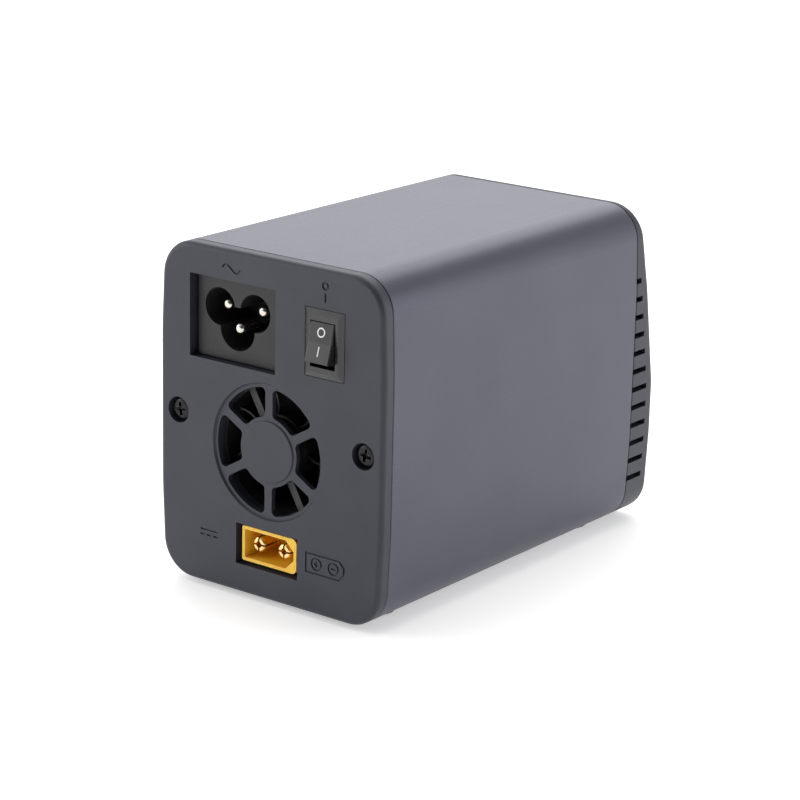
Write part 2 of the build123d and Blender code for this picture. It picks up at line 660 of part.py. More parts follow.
def fan_frame():
    """Square fan housing with a round duct, a motor base and four struts."""
    start, end = FAN_BACK_DEPTH, FAN_BACK_DEPTH + FAN_DEPTH
    x, z = FAN_AT
    frame = run(RectangleRounded(FAN_SIZE, FAN_SIZE, 2.5), start, end, x, z)
    frame -= rod(FAN_BORE, start - 1, end + 1, x, z)
    for dx in (-FAN_HOLE, FAN_HOLE):
        for dz in (-FAN_HOLE, FAN_HOLE):
            frame -= rod(1.3, start - 1, end + 1, x + dx, z + dz)
    frame += rod(FAN_HUB_RADIUS - 0.2, start, start + STRUT_DEPTH, x, z)
    for angle in STRUT_ANGLES:
        strut = Rot(0, 0, angle) * Rectangle(2 * FAN_BORE + 1, 1.8)
        frame += run(strut, start, start + STRUT_DEPTH, x, z)
    frame -= rod(BEARING_RADIUS, start + 0.3, start + 2, x, z)
    return frame


BEARING_RADIUS = 1.8
STATOR_RADIUS = 5.6
ROTOR_FAR = 9.4                      # far end of the rotor, from the near face of the fan's frame


def fan_rotor():
    """Cup-shaped hub with twisted blades; its shaft is pressed into the closed end."""
    x, z = FAN_AT
    start, end = FAN_BACK_DEPTH + 1.6, FAN_BACK_DEPTH + ROTOR_FAR
    rotor = rod(FAN_HUB_RADIUS, start, end, x, z)
    rotor = fillet(edges_on_plane_y(rotor, end), 0.8)
    middle = (start + end) / 2
    for n in range(BLADES):
        turn = Rot(0, 360 / BLADES * n, 0)
        inner = blade_section(FAN_HUB_RADIUS - 0.5, 6.4, 38)
        outer = blade_section(BLADE_TIP + 0.6, 7.4, 27)
        rotor += Pos(x, back(middle), z) * turn * loft([inner, outer])
    rotor &= rod(BLADE_TIP, start, end, x, z)
    rotor -= rod(FAN_HUB_RADIUS - 1.0, start - 1, end - 1.2, x, z)
    rotor -= rod(SHAFT_RADIUS, end - 2, end - 0.5, x, z)
    return rotor


def blade_section(radius, chord, pitch):
    """A blade's section at a radius: a thin plate across the radius, pitched against the fan's plane."""
    plane = Plane(origin=(radius, 0, 0), x_dir=(0, 0, 1), z_dir=(1, 0, 0)).rotated((0, 0, 90 - pitch))
    return plane * Rectangle(0.7, chord)


def fan_motor():
    """Shaft, bearing and wound stator."""
    x, z = FAN_AT
    base, rotor_end = FAN_BACK_DEPTH, FAN_BACK_DEPTH + ROTOR_FAR
    bearing = rod(BEARING_RADIUS, base + 0.3, rotor_end - 1.8, x, z)
    bearing -= rod(SHAFT_RADIUS + 0.04, base + 1.0, rotor_end, x, z)
    stator = rod(STATOR_RADIUS, base + 1.6, rotor_end - 1.8, x, z)
    stator -= rod(BEARING_RADIUS, base + 1, rotor_end, x, z)
    for angle in (45, 135):
        gap = Rot(0, 0, angle) * (Pos(4.7, 0) * Rectangle(4, 1.0) + Pos(-4.7, 0) * Rectangle(4, 1.0))
        stator -= run(gap, base + 1, rotor_end, x, z)
    save("fan_shaft", rod(SHAFT_RADIUS, base + 1.2, rotor_end - 0.5, x, z))
    save("fan_bearing", bearing)
    save("fan_stator", stator)


# ---------------------------------------------------------------- display, keys and wheel
def display_module():
    """Liquid-crystal module: glass on a shallow tray."""
    face = tilted(up=SCREEN_UP, inward=LENS_THICKNESS + 0.1)
    glass = extrude(face * RectangleRounded(45.6, 34.0, 0.8), amount=-1.0)
    tray = extrude(face.offset(-1.0) * RectangleRounded(45.6, 34.0, 0.8), amount=-1.3)
    return glass + tray


def wheel_and_yoke():
    """Knurled wheel on an axle, carried by a sprung frame that clicks inwards."""
    x, z = WHEEL_AT
    centre = BODY_LENGTH + WHEEL_PROUD - WHEEL_RADIUS
    width = 9.0
    groove = 0.35
    ribs = 30
    profile = Circle(WHEEL_RADIUS)
    for n in range(ribs):
        notch = Pos(WHEEL_RADIUS + 0.12, 0) * Rot(0, 0, 45) * Rectangle(groove, groove)
        profile -= Rot(0, 0, 360 / ribs * n) * notch
    side_view = Plane(origin=(x - width / 2, back(centre), z), x_dir=(0, 0, 1), z_dir=(1, 0, 0))
    wheel = extrude(side_view * profile, amount=width)
    wheel += cross_rod(0.6, x - 6.1, x + 6.1, back(centre), z)
    front, rear = BODY_LENGTH - COVER_WALL - 0.15, BODY_LENGTH - COVER_WALL - 3.2
    yoke = run(Rectangle(12.8, 11.4) - Rectangle(10.0, 9.8), rear, front, x, z)
    yoke += block(x - 2.0, x + 2.0, rear, rear + 1.4, z - 7.0, z - 5.0)
    yoke -= cross_rod(0.65, x - 6.2, x + 6.2, back(centre), z)
    yoke += rod(0.8, UI_BOARD_FRONT + 1.4, rear + 0.1, x, z - 5.9)
    click = block(x - 2.2, x + 2.2, UI_BOARD_FRONT + EPS, UI_BOARD_FRONT + 1.9, z - 7.1, z - 4.7)
    click -= rod(0.95, UI_BOARD_FRONT + 0.7, UI_BOARD_FRONT + 3, x, z - 5.9)
    save("jog_wheel", wheel)
    save("wheel_yoke", yoke)
    save("wheel_click_switch", click)


def keys():
    """Two channel keys, each with a flange behind the wall and a stem in its switch."""
    wall = BODY_LENGTH - COVER_WALL
    for name, side in (("left", -1), ("right", 1)):
        x = side * BUTTON_X
        cap = run(RectangleRounded(*BUTTON, 2.2), wall - 1.1, BODY_LENGTH + 0.8, x, BUTTON_Z)
        cap = fillet(edges_on_plane_y(cap, BODY_LENGTH + 0.8), 0.5)
        flange = RectangleRounded(BUTTON[0] + 1.6, BUTTON[1] + 1.4, 2.8)
        cap += run(flange, wall - 1.1, wall - 0.1, x, BUTTON_Z)
        cap += rod(1.2, UI_BOARD_FRONT + 1.2, wall - 1.0, x, BUTTON_Z)
        foot = UI_BOARD_FRONT + EPS
        switch = block(x - 3.0, x + 3.0, foot, UI_BOARD_FRONT + 2.2, BUTTON_Z - 2.4, BUTTON_Z + 2.4)
        switch -= rod(1.35, UI_BOARD_FRONT + 0.6, UI_BOARD_FRONT + 3, x, BUTTON_Z)
        save(name + "_key", cap)
        save(name + "_key_switch", switch)


def key_board():
    """Upright board behind the front face."""
    board = block(-27.4, 27.4, UI_BOARD_DEPTH, UI_BOARD_FRONT, 17.7, 35.6)
    board -= run(Rectangle(10.4, 6.0), UI_BOARD_DEPTH - 1, UI_BOARD_FRONT + 1, *WHEEL_AT)
    for side in (-1, 1):
        board -= rod(1.0, UI_BOARD_DEPTH - 1, UI_BOARD_FRONT + 1, side * UI_POST_X, UI_POST_Z)
    return board


# ---------------------------------------------------------------- boards and what stands on them
def main_board():
    """Charging board that carries the battery-plug connectors."""
    return block(-26.6, 26.6, 8.0, 94.0, MAIN_BOARD_TOP - BOARD_THICKNESS, MAIN_BOARD_TOP)


def heatsink():
    """Finned aluminium block on the charging board, in the fan's air."""
    x0, x1, near, far = -17.0, 17.0, 28.0, 60.0
    base = MAIN_BOARD_TOP + 2.6
    sink = block(x0, x1, near, far, base, base + 3.0)
    fins = 9
    for n in range(fins):
        x = x0 + 0.8 + n * (x1 - x0 - 1.6) / (fins - 1)
        sink += block(x - 0.6, x + 0.6, near, far, base + 2.9, base + 17.0)
    return sink


def transistors():
    """Eight flat power transistors between the charging board and its heatsink."""
    return [
        block(x - 2.6, x + 2.6, depth - 3.0, depth + 3.0, MAIN_BOARD_TOP + EPS, MAIN_BOARD_TOP + 2.5)
        for x in (-12.6, -4.2, 4.2, 12.6) for depth in (36.0, 52.0)
    ]


def inductors():
    """Four moulded power inductors."""
    made = []
    for x in (-16.0, 16.0):
        for depth in (67.5, 80.0):
            foot, top = MAIN_BOARD_TOP + EPS, MAIN_BOARD_TOP + 7.0
            coil = block(x - 5.8, x + 5.8, depth - 5.8, depth + 5.8, foot, top)
            made.append(chamfer(coil.edges().filter_by(Axis.Z), 1.2))
    return made


def capacitor(radius, height, x, depth, z):
    """A can capacitor with a crimped neck, standing on a board."""
    can = pillar(radius, x, back(depth), z + EPS, z + height)
    can = fillet(can.edges().sort_by(Axis.Z)[-1], radius * 0.12)
    neck = pillar(radius + 1, x, back(depth), z + 1.4, z + 2.1)
    neck -= pillar(radius - 0.4, x, back(depth), z + 1, z + 3)
    return can - neck


def transformer():
    """Ferrite core round a taped winding, on the mains board."""
    x, depth, z = 2.0, 52.0, AC_BOARD_TOP
    core = block(x - 13.0, x + 13.0, depth - 6.0, depth + 6.0, z + 2.0, z + 20.0)
    window = block(x - 9.6, x + 9.6, depth - 7.0, depth + 7.0, z + 5.0, z + 17.0)
    leg = block(x - 3.2, x + 3.2, depth - 6.0, depth + 6.0, z + 5.0, z + 17.0)
    winding = block(x - 9.4, x + 9.4, depth - 9.6, depth + 9.6, z + 5.2, z + 16.8)
    winding = fillet(winding.edges().filter_by(Axis.Z), 3.0) - leg
    foot = block(x - 9.0, x + 9.0, depth - 9.6, depth + 9.6, z + EPS, z + 1.9)
    save("transformer_core", core - (window - leg))
    save("transformer_winding", winding, foot)


def mains_parts():
    """Filter, fuse, storage and heat spreaders of the mains supply."""
    z = AC_BOARD_TOP
    ring = pillar(7.2, 17.0, back(33.5), z + EPS, z + 7.9) - pillar(3.4, 17.0, back(33.5), z - 1, z + 9)
    save("line_choke", fillet(ring.edges(), 1.4))
    save("filter_capacitor", fillet(
        block(-4.0, 4.0, 22.5, 38.0, z + EPS, z + 13.0).edges().filter_by(Axis.Z), 0.8))
    glass = rod(2.6, 22.0, 34.0, -8.0, z + 2.9)
    save("line_fuse", glass)
    save("storage_capacitors", capacitor(6.3, 21.0, -19.0, 45.5, z), capacitor(6.3, 21.0, -19.0, 59.5, z))
    save("output_capacitors", *[capacitor(4.0, 14.0, x, 80.0, z) for x in (-12.0, -2.0, 8.0)])
    plates = []
    for x in (21.0, -24.6):
        depth0, depth1 = (41.0, 72.0) if x > 0 else (70.0, 86.0)
        plate = block(x, x + 2.0, depth0, depth1, z + EPS, z + 17.0)
        for rise in (15.0, 8.0):
            plate += block(x - 2.5, x + 2.5, depth0, depth1, z + rise, z + rise + 2.0)
        plates.append(plate)
    save("mains_heatsinks", *plates)


def small_parts():
    """Processor, buzzer and insulating sheet."""
    save("controller_chip", block(-5.0, 5.0, 76.0, 86.0, MAIN_BOARD_TOP + EPS, MAIN_BOARD_TOP + 1.4))
    sounder = pillar(4.5, -19.0, back(19.0), MAIN_BOARD_TOP + EPS, MAIN_BOARD_TOP + 5.0)
    sounder -= pillar(1.0, -19.0, back(19.0), MAIN_BOARD_TOP + 3.5, MAIN_BOARD_TOP + 6)
    save("buzzer", sounder)
    sheet_top = AC_BOARD_TOP - BOARD_THICKNESS - 1.3
    save("insulating_sheet", block(-28.0, 28.0, 20.6, 88.0, sheet_top - 0.4, sheet_top))


def lead(points, radius, wire_radius):
    """A wire along straight runs joined by round bends. Points are (x, depth, z)."""
    path = FilletPolyline(*[(x, back(depth), z) for x, depth, z in points], radius=radius)
    start = Plane(origin=path @ 0, z_dir=path % 0)
    return sweep(start * Circle(wire_radius), path=path)


def mains_wires():
    """Switched live, live and neutral wires, and the earth wire, from the tags to the mains board."""
    switch_x, switch_z = SWITCH_AT
    inlet_x, inlet_z = INLET_AT
    board = AC_BOARD_TOP + 0.05
    tail = INLET_FACE_DEPTH + INLET_DEPTH + 4.05
    blade = SWITCH_DEPTH + 6.55
    (live_dx, pin_dz, _), (neutral_dx, _, _), (_, earth_dz, _) = LOBES
    live_x, neutral_x, pin_z, earth_z = inlet_x + live_dx, inlet_x + neutral_dx, inlet_z + pin_dz, inlet_z + earth_dz
    switched = [(switch_x, blade, switch_z - 4.2), (switch_x, 23.0, switch_z - 4.2), (switch_x, 23.0, board)]
    live = [(switch_x, blade, switch_z + 4.2), (switch_x, 24.0, switch_z + 5.0), (-6.0, 26.5, switch_z + 8.5),
            (live_x - 1.0, 26.5, pin_z + 2.5), (live_x, 24.5, pin_z), (live_x, tail, pin_z)]
    neutral = [(neutral_x, tail, pin_z), (neutral_x, 24.0, pin_z), (neutral_x + 6.0, 24.0, inlet_z - 1.0),
               (neutral_x + 6.0, 24.0, board)]
    earth = [(inlet_x, tail, earth_z), (inlet_x, 24.0, earth_z), (inlet_x, 24.0, board)]
    wires = [lead(switched, 1.8, 0.9), lead(live, 1.3, 0.9), lead(neutral, 1.6, 0.9)]
    save("mains_leads", *wires)
    save("earth_lead", lead(earth, 1.6, 0.9))


def link_wires():
    """The supply's two output wires, bowed round the front edge of the mains board to the charging board."""
    top, bottom = AC_BOARD_TOP + 0.05, MAIN_BOARD_TOP + 0.05
    wires = [
        lead([(x, 85.5, top), (x, 85.5, top + 5.0), (x, 91.0, top + 4.5), (x, 93.6, 33.0),
              (x, 91.0, 14.0), (x, 91.0, bottom)], 2.2, 1.0)
        for x in (1.2, 4.8)
    ]
    save("link_leads", *wires)


def fan_wires():
    """The fan's two thin wires, from its frame down to the charging board."""
    exit_depth, exit_z = 11.9, FAN_AT[1] - FAN_SIZE / 2 - 0.05
    wires = [
        lead([(x, exit_depth, exit_z), (x, exit_depth, exit_z - 3.0), (x + 5.0, 19.5, exit_z - 6.0),
              (x + 5.0, 20.5, MAIN_BOARD_TOP + 0.05)], 1.6, 0.5)
        for x in (10.0, 11.4)
    ]
    save("fan_leads", *wires)


def feet():
    """Four stick-on rubber feet under the corners."""
    pads = []
    for x, depth in ((-FOOT_X, 90.0), (FOOT_X, 90.0), (-FOOT_X, 14.0), (FOOT_X, 14.0)):
        pad = pillar(4.0, x, back(depth), 0, FOOT_HEIGHT)
        pads.append(fillet(pad.edges().sort_by(Axis.Z)[0], 0.4))
    save("rubber_feet", *pads)


def trace(curve, width):
    """A band of even width along a curve."""
    left = offset_points(curve, width / 2)
    right = offset_points(curve, -width / 2)
    return make_face(Polyline(*left, *reversed(right), close=True))


def offset_points(curve, distance, steps=16):
    """Points beside a plane curve."""
    points = []
    for n in range(steps + 1):
        place, along = curve @ (n / steps), curve % (n / steps)
        points.append((place.X - along.Y * distance, place.Y + along.X * distance))
    return points


def main():
    os.makedirs(PARTS, exist_ok=True)
    save("housing_sleeve", housing_sleeve())
    save("back_cover", back_cover())
    save("front_cover", front_cover())
    save("display_lens", lens_form(LENS_INSET, LENS_THICKNESS, LENS_FROM))
    save("display_module", display_module())
    screws()
    mains_inlet()
    switch_housing()
    save("switch_rocker", switch_rocker())
    dc_input()
    output_sockets()
    balance_sockets()
    usb_port()
    save("fan_frame", fan_frame())
    save("fan_rotor", fan_rotor())
    fan_motor()
    wheel_and_yoke()
    keys()
    save("key_board", key_board())
    save("main_board", main_board())
    save("heatsink", heatsink())
    save("power_transistors", *transistors())
    save("power_inductors", *inductors())
    save("mains_board", block(-29.2, 29.2, 20.5, 88.0, AC_BOARD_TOP - BOARD_THICKNESS, AC_BOARD_TOP))
    transformer()
    mains_parts()
    small_parts()
    mains_wires()
    link_wires()
    fan_wires()
    feet()


main()
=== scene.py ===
import json
import math

import bmesh
import bpy
from mathutils import Matrix, Quaternion, Vector
from mathutils.bvhtree import BVHTree


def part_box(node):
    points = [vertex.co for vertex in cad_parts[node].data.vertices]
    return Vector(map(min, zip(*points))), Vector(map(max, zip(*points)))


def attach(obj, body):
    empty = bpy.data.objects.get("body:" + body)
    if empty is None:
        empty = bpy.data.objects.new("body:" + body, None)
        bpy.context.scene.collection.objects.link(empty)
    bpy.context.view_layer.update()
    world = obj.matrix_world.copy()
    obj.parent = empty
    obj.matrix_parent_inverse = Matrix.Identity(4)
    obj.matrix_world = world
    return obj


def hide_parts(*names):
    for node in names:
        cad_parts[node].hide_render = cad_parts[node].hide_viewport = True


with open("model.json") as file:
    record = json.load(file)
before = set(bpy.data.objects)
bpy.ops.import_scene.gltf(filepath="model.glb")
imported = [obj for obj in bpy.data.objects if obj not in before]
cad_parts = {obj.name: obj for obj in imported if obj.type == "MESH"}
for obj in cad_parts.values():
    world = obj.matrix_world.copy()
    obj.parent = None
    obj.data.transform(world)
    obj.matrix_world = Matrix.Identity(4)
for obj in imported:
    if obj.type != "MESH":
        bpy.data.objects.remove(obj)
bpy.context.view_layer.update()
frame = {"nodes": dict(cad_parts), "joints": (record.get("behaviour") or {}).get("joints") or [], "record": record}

MM = 0.001


# ---------------------------------------------------------------- places taken from the frame
def middle(node):
    """Centre of a node's box."""
    low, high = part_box(node)
    return (low + high) / 2


def span(node):
    """Size of a node's box."""
    low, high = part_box(node)
    return high - low


def joint(name):
    """A joint's entry in the record."""
    return next(j for j in frame["joints"] if j["name"] == name)


BACK_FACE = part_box("back_cover")[1].y
ROCKER_PIVOT = Vector(joint("power_switch")["pos_m"])
TO_BACK = Matrix.Rotation(math.radians(-90), 4, "X")     # turns +Z to the back face
TO_FRONT = Matrix.Rotation(math.radians(90), 4, "X")     # turns +Z to the front face


# ---------------------------------------------------------------- shader building
class Finish:
    """A material under construction: a Principled shader and the patterns that feed it."""

    def __init__(self, name, colour, roughness, metallic=0.0, **sockets):
        self.material = bpy.data.materials.new(name)
        self.material.use_nodes = True
        self.tree = self.material.node_tree
        self.shader = self.tree.nodes["Principled BSDF"]
        self.shader.inputs["Base Color"].default_value = (*colour, 1.0)
        self.shader.inputs["Roughness"].default_value = roughness
        self.shader.inputs["Metallic"].default_value = metallic
        for socket, value in sockets.items():
            self.shader.inputs[socket.replace("_", " ")].default_value = value
        self.coords = self.add("ShaderNodeTexCoord").outputs["Object"]

    def add(self, kind, **values):
        node = self.tree.nodes.new(kind)
        for key, value in values.items():
            setattr(node, key, value)
        return node

    def link(self, source, target):
        self.tree.links.new(source, target)

    def stretched(self, scale):
        """Object coordinates scaled unevenly, for grain that runs one way."""
        mapping = self.add("ShaderNodeMapping")
        mapping.inputs["Scale"].default_value = scale
        self.link(self.coords, mapping.inputs["Vector"])
        return mapping.outputs["Vector"]

    def noise(self, scale, detail=2.0, coords=None, roughness=0.5):
        node = self.add("ShaderNodeTexNoise")
        node.inputs["Scale"].default_value = scale
        node.inputs["Detail"].default_value = detail
        node.inputs["Roughness"].default_value = roughness
        self.link(coords or self.coords, node.inputs["Vector"])
        return node.outputs["Fac"]

    def cells(self, scale, feature="F1", output="Distance"):
        node = self.add("ShaderNodeTexVoronoi", feature=feature)
        node.inputs["Scale"].default_value = scale
        self.link(self.coords, node.inputs["Vector"])
        return node.outputs[output]

    def remap(self, value, low, high, to_low, to_high):
        node = self.add("ShaderNodeMapRange")
        limits = {"From Min": low, "From Max": high, "To Min": to_low, "To Max": to_high}
        for name, number in limits.items():
            node.inputs[name].default_value = number
        self.link(value, node.inputs["Value"])
        return node.outputs["Result"]

    def clouded(self, scale, detail, first, second, low=0.3, high=0.7):
        """A colour that drifts between two, in soft clouds."""
        return self.blend(self.remap(self.noise(scale, detail), low, high, 0.0, 1.0), first, second)

    def math(self, operation, first, second):
        node = self.add("ShaderNodeMath", operation=operation)
        for socket, value in zip(node.inputs, (first, second)):
            if isinstance(value, (int, float)):
                socket.default_value = value
            else:
                self.link(value, socket)
        return node.outputs["Value"]

    def blend(self, factor, first, second):
        """A colour between two, by a pattern."""
        node = self.add("ShaderNodeMix", data_type="RGBA")
        self.link(factor, node.inputs["Factor"])
        for socket, value in zip((node.inputs[6], node.inputs[7]), (first, second)):
            if isinstance(value, tuple):
                socket.default_value = (*value, 1.0)
            else:
                self.link(value, socket)
        return node.outputs[2]

    def colour(self, value):
        self.link(value, self.shader.inputs["Base Color"])

    def roughness(self, value):
        self.link(value, self.shader.inputs["Roughness"])

    def bump(self, *layers):
        """Relief from (height pattern, depth in metres, strength) layers, added one on another."""
        previous = None
        for height, distance, strength in layers:
            node = self.add("ShaderNodeBump")
            node.inputs["Distance"].default_value = distance
            node.inputs["Strength"].default_value = strength
            self.link(height, node.inputs["Height"])
            if previous is not None:
                self.link(previous, node.inputs["Normal"])
            previous = node.outputs["Normal"]
        self.link(previous, self.shader.inputs["Normal"])

    def edges(self, radius, low=0.02, high=0.35):
        """A mask that is 1 on sharp edges and 0 on flat faces."""
        bevel = self.add("ShaderNodeBevel", samples=4)
        bevel.inputs["Radius"].default_value = radius
        geometry = self.add("ShaderNodeNewGeometry")
        dot = self.add("ShaderNodeVectorMath", operation="DOT_PRODUCT")
        self.link(bevel.outputs["Normal"], dot.inputs[0])
        self.link(geometry.outputs["Normal"], dot.inputs[1])
        turned = self.math("SUBTRACT", 1.0, dot.outputs["Value"])
        return self.remap(turned, low, high, 0.0, 1.0)

    def box_mask(self, centre, size):
        """1 inside an upright rectangle in X and Z, 0 outside, in object coordinates."""
        mapping = self.add("ShaderNodeMapping", vector_type="POINT")
        mapping.inputs["Location"].default_value = [-c for c in centre]
        self.link(self.coords, mapping.inputs["Vector"])
        split = self.add("ShaderNodeSeparateXYZ")
        self.link(mapping.outputs["Vector"], split.inputs["Vector"])
        inside = None
        for axis, length in zip("XZ", size):
            distance = self.math("ABSOLUTE", split.outputs[axis], 0.0)
            within = self.math("LESS_THAN", distance, length / 2)
            inside = within if inside is None else self.math("MULTIPLY", inside, within)
        return inside


# ---------------------------------------------------------------- finishes
def moulded_cover():
    """Spark-textured blue-grey moulding of the covers, with a painted highlight along its edges."""
    f = Finish("moulded_cover", (0.031, 0.033, 0.043), 0.5, Specular_IOR_Level=0.4)
    base = f.clouded(90, 3, (0.027, 0.029, 0.042), (0.033, 0.035, 0.048))
    fleck = f.noise(5200, 2)
    # painted highlight: the cover's edges are lightened in broken patches, standing in for the sheen along its
    # fillets
    cover_edge_highlight = f.math("MULTIPLY", f.edges(0.25 * MM), f.remap(f.noise(700, 3), 0.35, 0.65, 0.1, 0.6))
    f.colour(f.blend(cover_edge_highlight, base, (0.058, 0.060, 0.072)))
    f.roughness(f.remap(fleck, 0.3, 0.7, 0.42, 0.56))
    f.bump((f.cells(3600), 0.02 * MM, 0.35), (fleck, 0.012 * MM, 0.3))
    return f.material


def anodised_sleeve():
    """Blasted and anodised aluminium, with barely visible drawing lines along the extrusion, painted glints and a
    painted highlight on its edges.
    """
    f = Finish("anodised_sleeve", (0.08, 0.08, 0.1), 0.42, metallic=0.55)
    blast = f.noise(7000, 2)
    lines = f.noise(900, 2, f.stretched((1.0, 0.006, 1.0)))
    base = f.clouded(45, 3, (0.070, 0.070, 0.096), (0.078, 0.078, 0.104))
    # painted glints: fine lighter specks in the colour, standing in for the sparkle of light on the blasted
    # surface
    painted_glints = f.remap(f.noise(9000, 1), 0.62, 0.72, 0.0, 0.35)
    base = f.blend(painted_glints, base, (0.2, 0.2, 0.24))
    # painted highlight: the sleeve's edges are lighter in the colour
    f.colour(f.blend(f.edges(0.2 * MM, 0.05, 0.5), base, (0.15, 0.15, 0.17)))
    blasted = f.remap(blast, 0.3, 0.7, -0.05, 0.05)
    drawn = f.remap(lines, 0.3, 0.7, 0.40, 0.415)
    f.roughness(f.math("ADD", blasted, drawn))
    f.bump((blast, 0.014 * MM, 0.35), (lines, 0.002 * MM, 0.06))
    return f.material


def inlet_plastic():
    """Warm black moulding of the mains inlet."""
    f = Finish("inlet_plastic", (0.016, 0.015, 0.017), 0.48, Specular_IOR_Level=0.4)
    speck = f.noise(3800, 3)
    f.colour(f.clouded(140, 2, (0.014, 0.013, 0.015), (0.019, 0.018, 0.020)))
    f.roughness(f.remap(speck, 0.3, 0.7, 0.38, 0.55))
    f.bump((speck, 0.012 * MM, 0.3))
    return f.material


def gloss_switch():
    """Polished black switch moulding with faint flow marks and a painted highlight on its edges."""
    f = Finish("gloss_switch", (0.012, 0.012, 0.014), 0.26, Coat_Weight=0.2, Coat_Roughness=0.2)
    flow = f.noise(260, 4, f.stretched((1.0, 1.0, 0.35)))
    # painted highlight: the switch's edges are lighter in the colour
    f.colour(f.blend(f.edges(0.15 * MM), (0.012, 0.012, 0.014), (0.04, 0.04, 0.044)))
    f.roughness(f.remap(flow, 0.3, 0.7, 0.2, 0.34))
    f.bump((flow, 0.02 * MM, 0.15))
    return f.material


def plug_nylon():
    """Amber nylon of the battery plugs: slightly translucent, with a soft sheen and a painted highlight on its
    edges.
    """
    f = Finish("plug_nylon", (0.95, 0.5, 0.05), 0.32, Subsurface_Weight=0.2, Subsurface_Scale=0.0015)
    base = f.clouded(420, 3, (1.0, 0.62, 0.05), (0.96, 0.52, 0.035))
    # painted highlight: the plug's edges are lighter in the colour
    f.colour(f.blend(f.edges(0.2 * MM), base, (1.0, 0.82, 0.4)))
    f.roughness(f.remap(f.noise(2400, 3), 0.3, 0.7, 0.26, 0.42))
    f.bump((f.noise(1900, 3), 0.015 * MM, 0.25))
    return f.material


def plated(name, colour, roughness):
    """Plated contact metal with fine drawing lines and a slight tarnish."""
    f = Finish(name, colour, roughness, metallic=1.0)
    lines = f.noise(2600, 3, f.stretched((1.0, 0.05, 1.0)))
    tarnish = f.remap(f.noise(500, 3), 0.35, 0.75, 0.0, 0.7)
    f.colour(f.blend(tarnish, colour, tuple(c * 0.72 for c in colour)))
    f.roughness(f.remap(lines, 0.3, 0.7, roughness * 0.7, roughness * 1.5))
    f.bump((lines, 0.006 * MM, 0.3))
    return f.material


def black_oxide():
    """Blackened screw steel, bare on the edges that a driver touches."""
    f = Finish("black_oxide", (0.03, 0.03, 0.033), 0.3, metallic=0.9)
    rub = f.math("MULTIPLY", f.edges(0.12 * MM), f.remap(f.noise(2200, 3), 0.4, 0.6, 0.1, 0.9))
    f.colour(f.blend(rub, (0.022, 0.022, 0.025), (0.5, 0.5, 0.51)))
    f.roughness(f.remap(f.noise(3000, 3), 0.3, 0.7, 0.2, 0.4))
    f.bump((f.noise(4200, 3), 0.01 * MM, 0.3))
    return f.material


def moulding(name, colour, roughness=0.5, grain=3200):
    """Plain moulded plastic with a fine grain, a clouded tone and a painted highlight along its edges."""
    f = Finish(name, colour, roughness)
    darker = tuple(c * 0.86 for c in colour)
    # painted highlight: the edges are drawn in this lighter colour
    edge_highlight_colour = tuple(min(1.0, c * 1.3 + 0.02) for c in colour)
    base = f.clouded(170, 3, darker, colour)
    f.colour(f.blend(f.edges(0.15 * MM), base, edge_highlight_colour))
    f.roughness(f.remap(f.noise(grain, 2), 0.3, 0.7, roughness * 0.82, roughness * 1.15))
    f.bump((f.noise(grain, 3), 0.012 * MM, 0.3))
    return f.material


def bare_metal(name, colour, roughness, run=(1.0, 1.0, 0.04)):
    """Machined or drawn metal with its lines running one way."""
    f = Finish(name, colour, roughness, metallic=1.0)
    lines = f.noise(2200, 4, f.stretched(run))
    f.colour(f.clouded(240, 3, colour, tuple(c * 0.85 for c in colour)))
    f.roughness(f.remap(lines, 0.3, 0.7, roughness * 0.75, roughness * 1.3))
    f.bump((lines, 0.008 * MM, 0.35))
    return f.material


def display_glass():
    """Black-backed lens with the display's viewing area just visible under it."""
    f = Finish("display_glass", (0.006, 0.006, 0.007), 0.06, Coat_Weight=0.6, Coat_Roughness=0.03)
    centre, size = middle("display_module"), span("display_module")
    view = f.box_mask((centre.x, 0, centre.z), (size.x * 0.93, size.z * 0.9))
    f.colour(f.blend(view, (0.006, 0.006, 0.007), (0.016, 0.018, 0.022)))
    f.roughness(f.remap(f.noise(60, 3), 0.3, 0.7, 0.04, 0.09))
    f.bump((f.noise(25, 2), 0.02 * MM, 0.05))
    return f.material


def rubber():
    """Matt rubber with a dusty bloom."""
    f = Finish("foot_rubber", (0.022, 0.022, 0.024), 0.82)
    bloom = f.remap(f.noise(700, 4), 0.35, 0.7, 0.0, 1.0)
    f.colour(f.blend(bloom, (0.018, 0.018, 0.02), (0.038, 0.037, 0.037)))
    f.roughness(f.remap(f.noise(2600, 3), 0.3, 0.7, 0.7, 0.92))
    f.bump((f.cells(2400), 0.02 * MM, 0.4))
    return f.material


def laminate():
    """Green solder resist over copper tracks, with bare pads."""
    f = Finish("board_laminate", (0.01, 0.09, 0.045), 0.35, Coat_Weight=0.4, Coat_Roughness=0.2)
    tracks = f.add("ShaderNodeTexBrick", offset=0.5, squash=0.8, squash_frequency=3)
    tracks.inputs["Scale"].default_value = 420
    tracks.inputs["Mortar Size"].default_value = 0.11
    tracks.inputs["Mortar Smooth"].default_value = 0.15
    f.link(f.coords, tracks.inputs["Vector"])
    pads = f.remap(f.cells(420), 0.16, 0.2, 1.0, 0.0)
    base = f.blend(tracks.outputs["Fac"], (0.012, 0.105, 0.05), (0.008, 0.06, 0.03))
    f.colour(f.blend(pads, base, (0.66, 0.64, 0.58)))
    f.roughness(f.remap(f.noise(900, 2), 0.3, 0.7, 0.28, 0.45))
    f.bump((tracks.outputs["Fac"], 0.03 * MM, 0.6), (f.noise(3000, 2), 0.01 * MM, 0.3))
    return f.material


def ferrite():
    """Pressed dark ferrite with a coarse, slightly sparkling grain."""
    f = Finish("pressed_ferrite", (0.05, 0.05, 0.055), 0.6, metallic=0.3)
    f.colour(f.clouded(2600, 4, (0.035, 0.035, 0.038), (0.075, 0.075, 0.08), 0.35, 0.65))
    f.roughness(f.remap(f.noise(1800, 3), 0.3, 0.7, 0.5, 0.75))
    f.bump((f.noise(2200, 4), 0.03 * MM, 0.45))
    return f.material


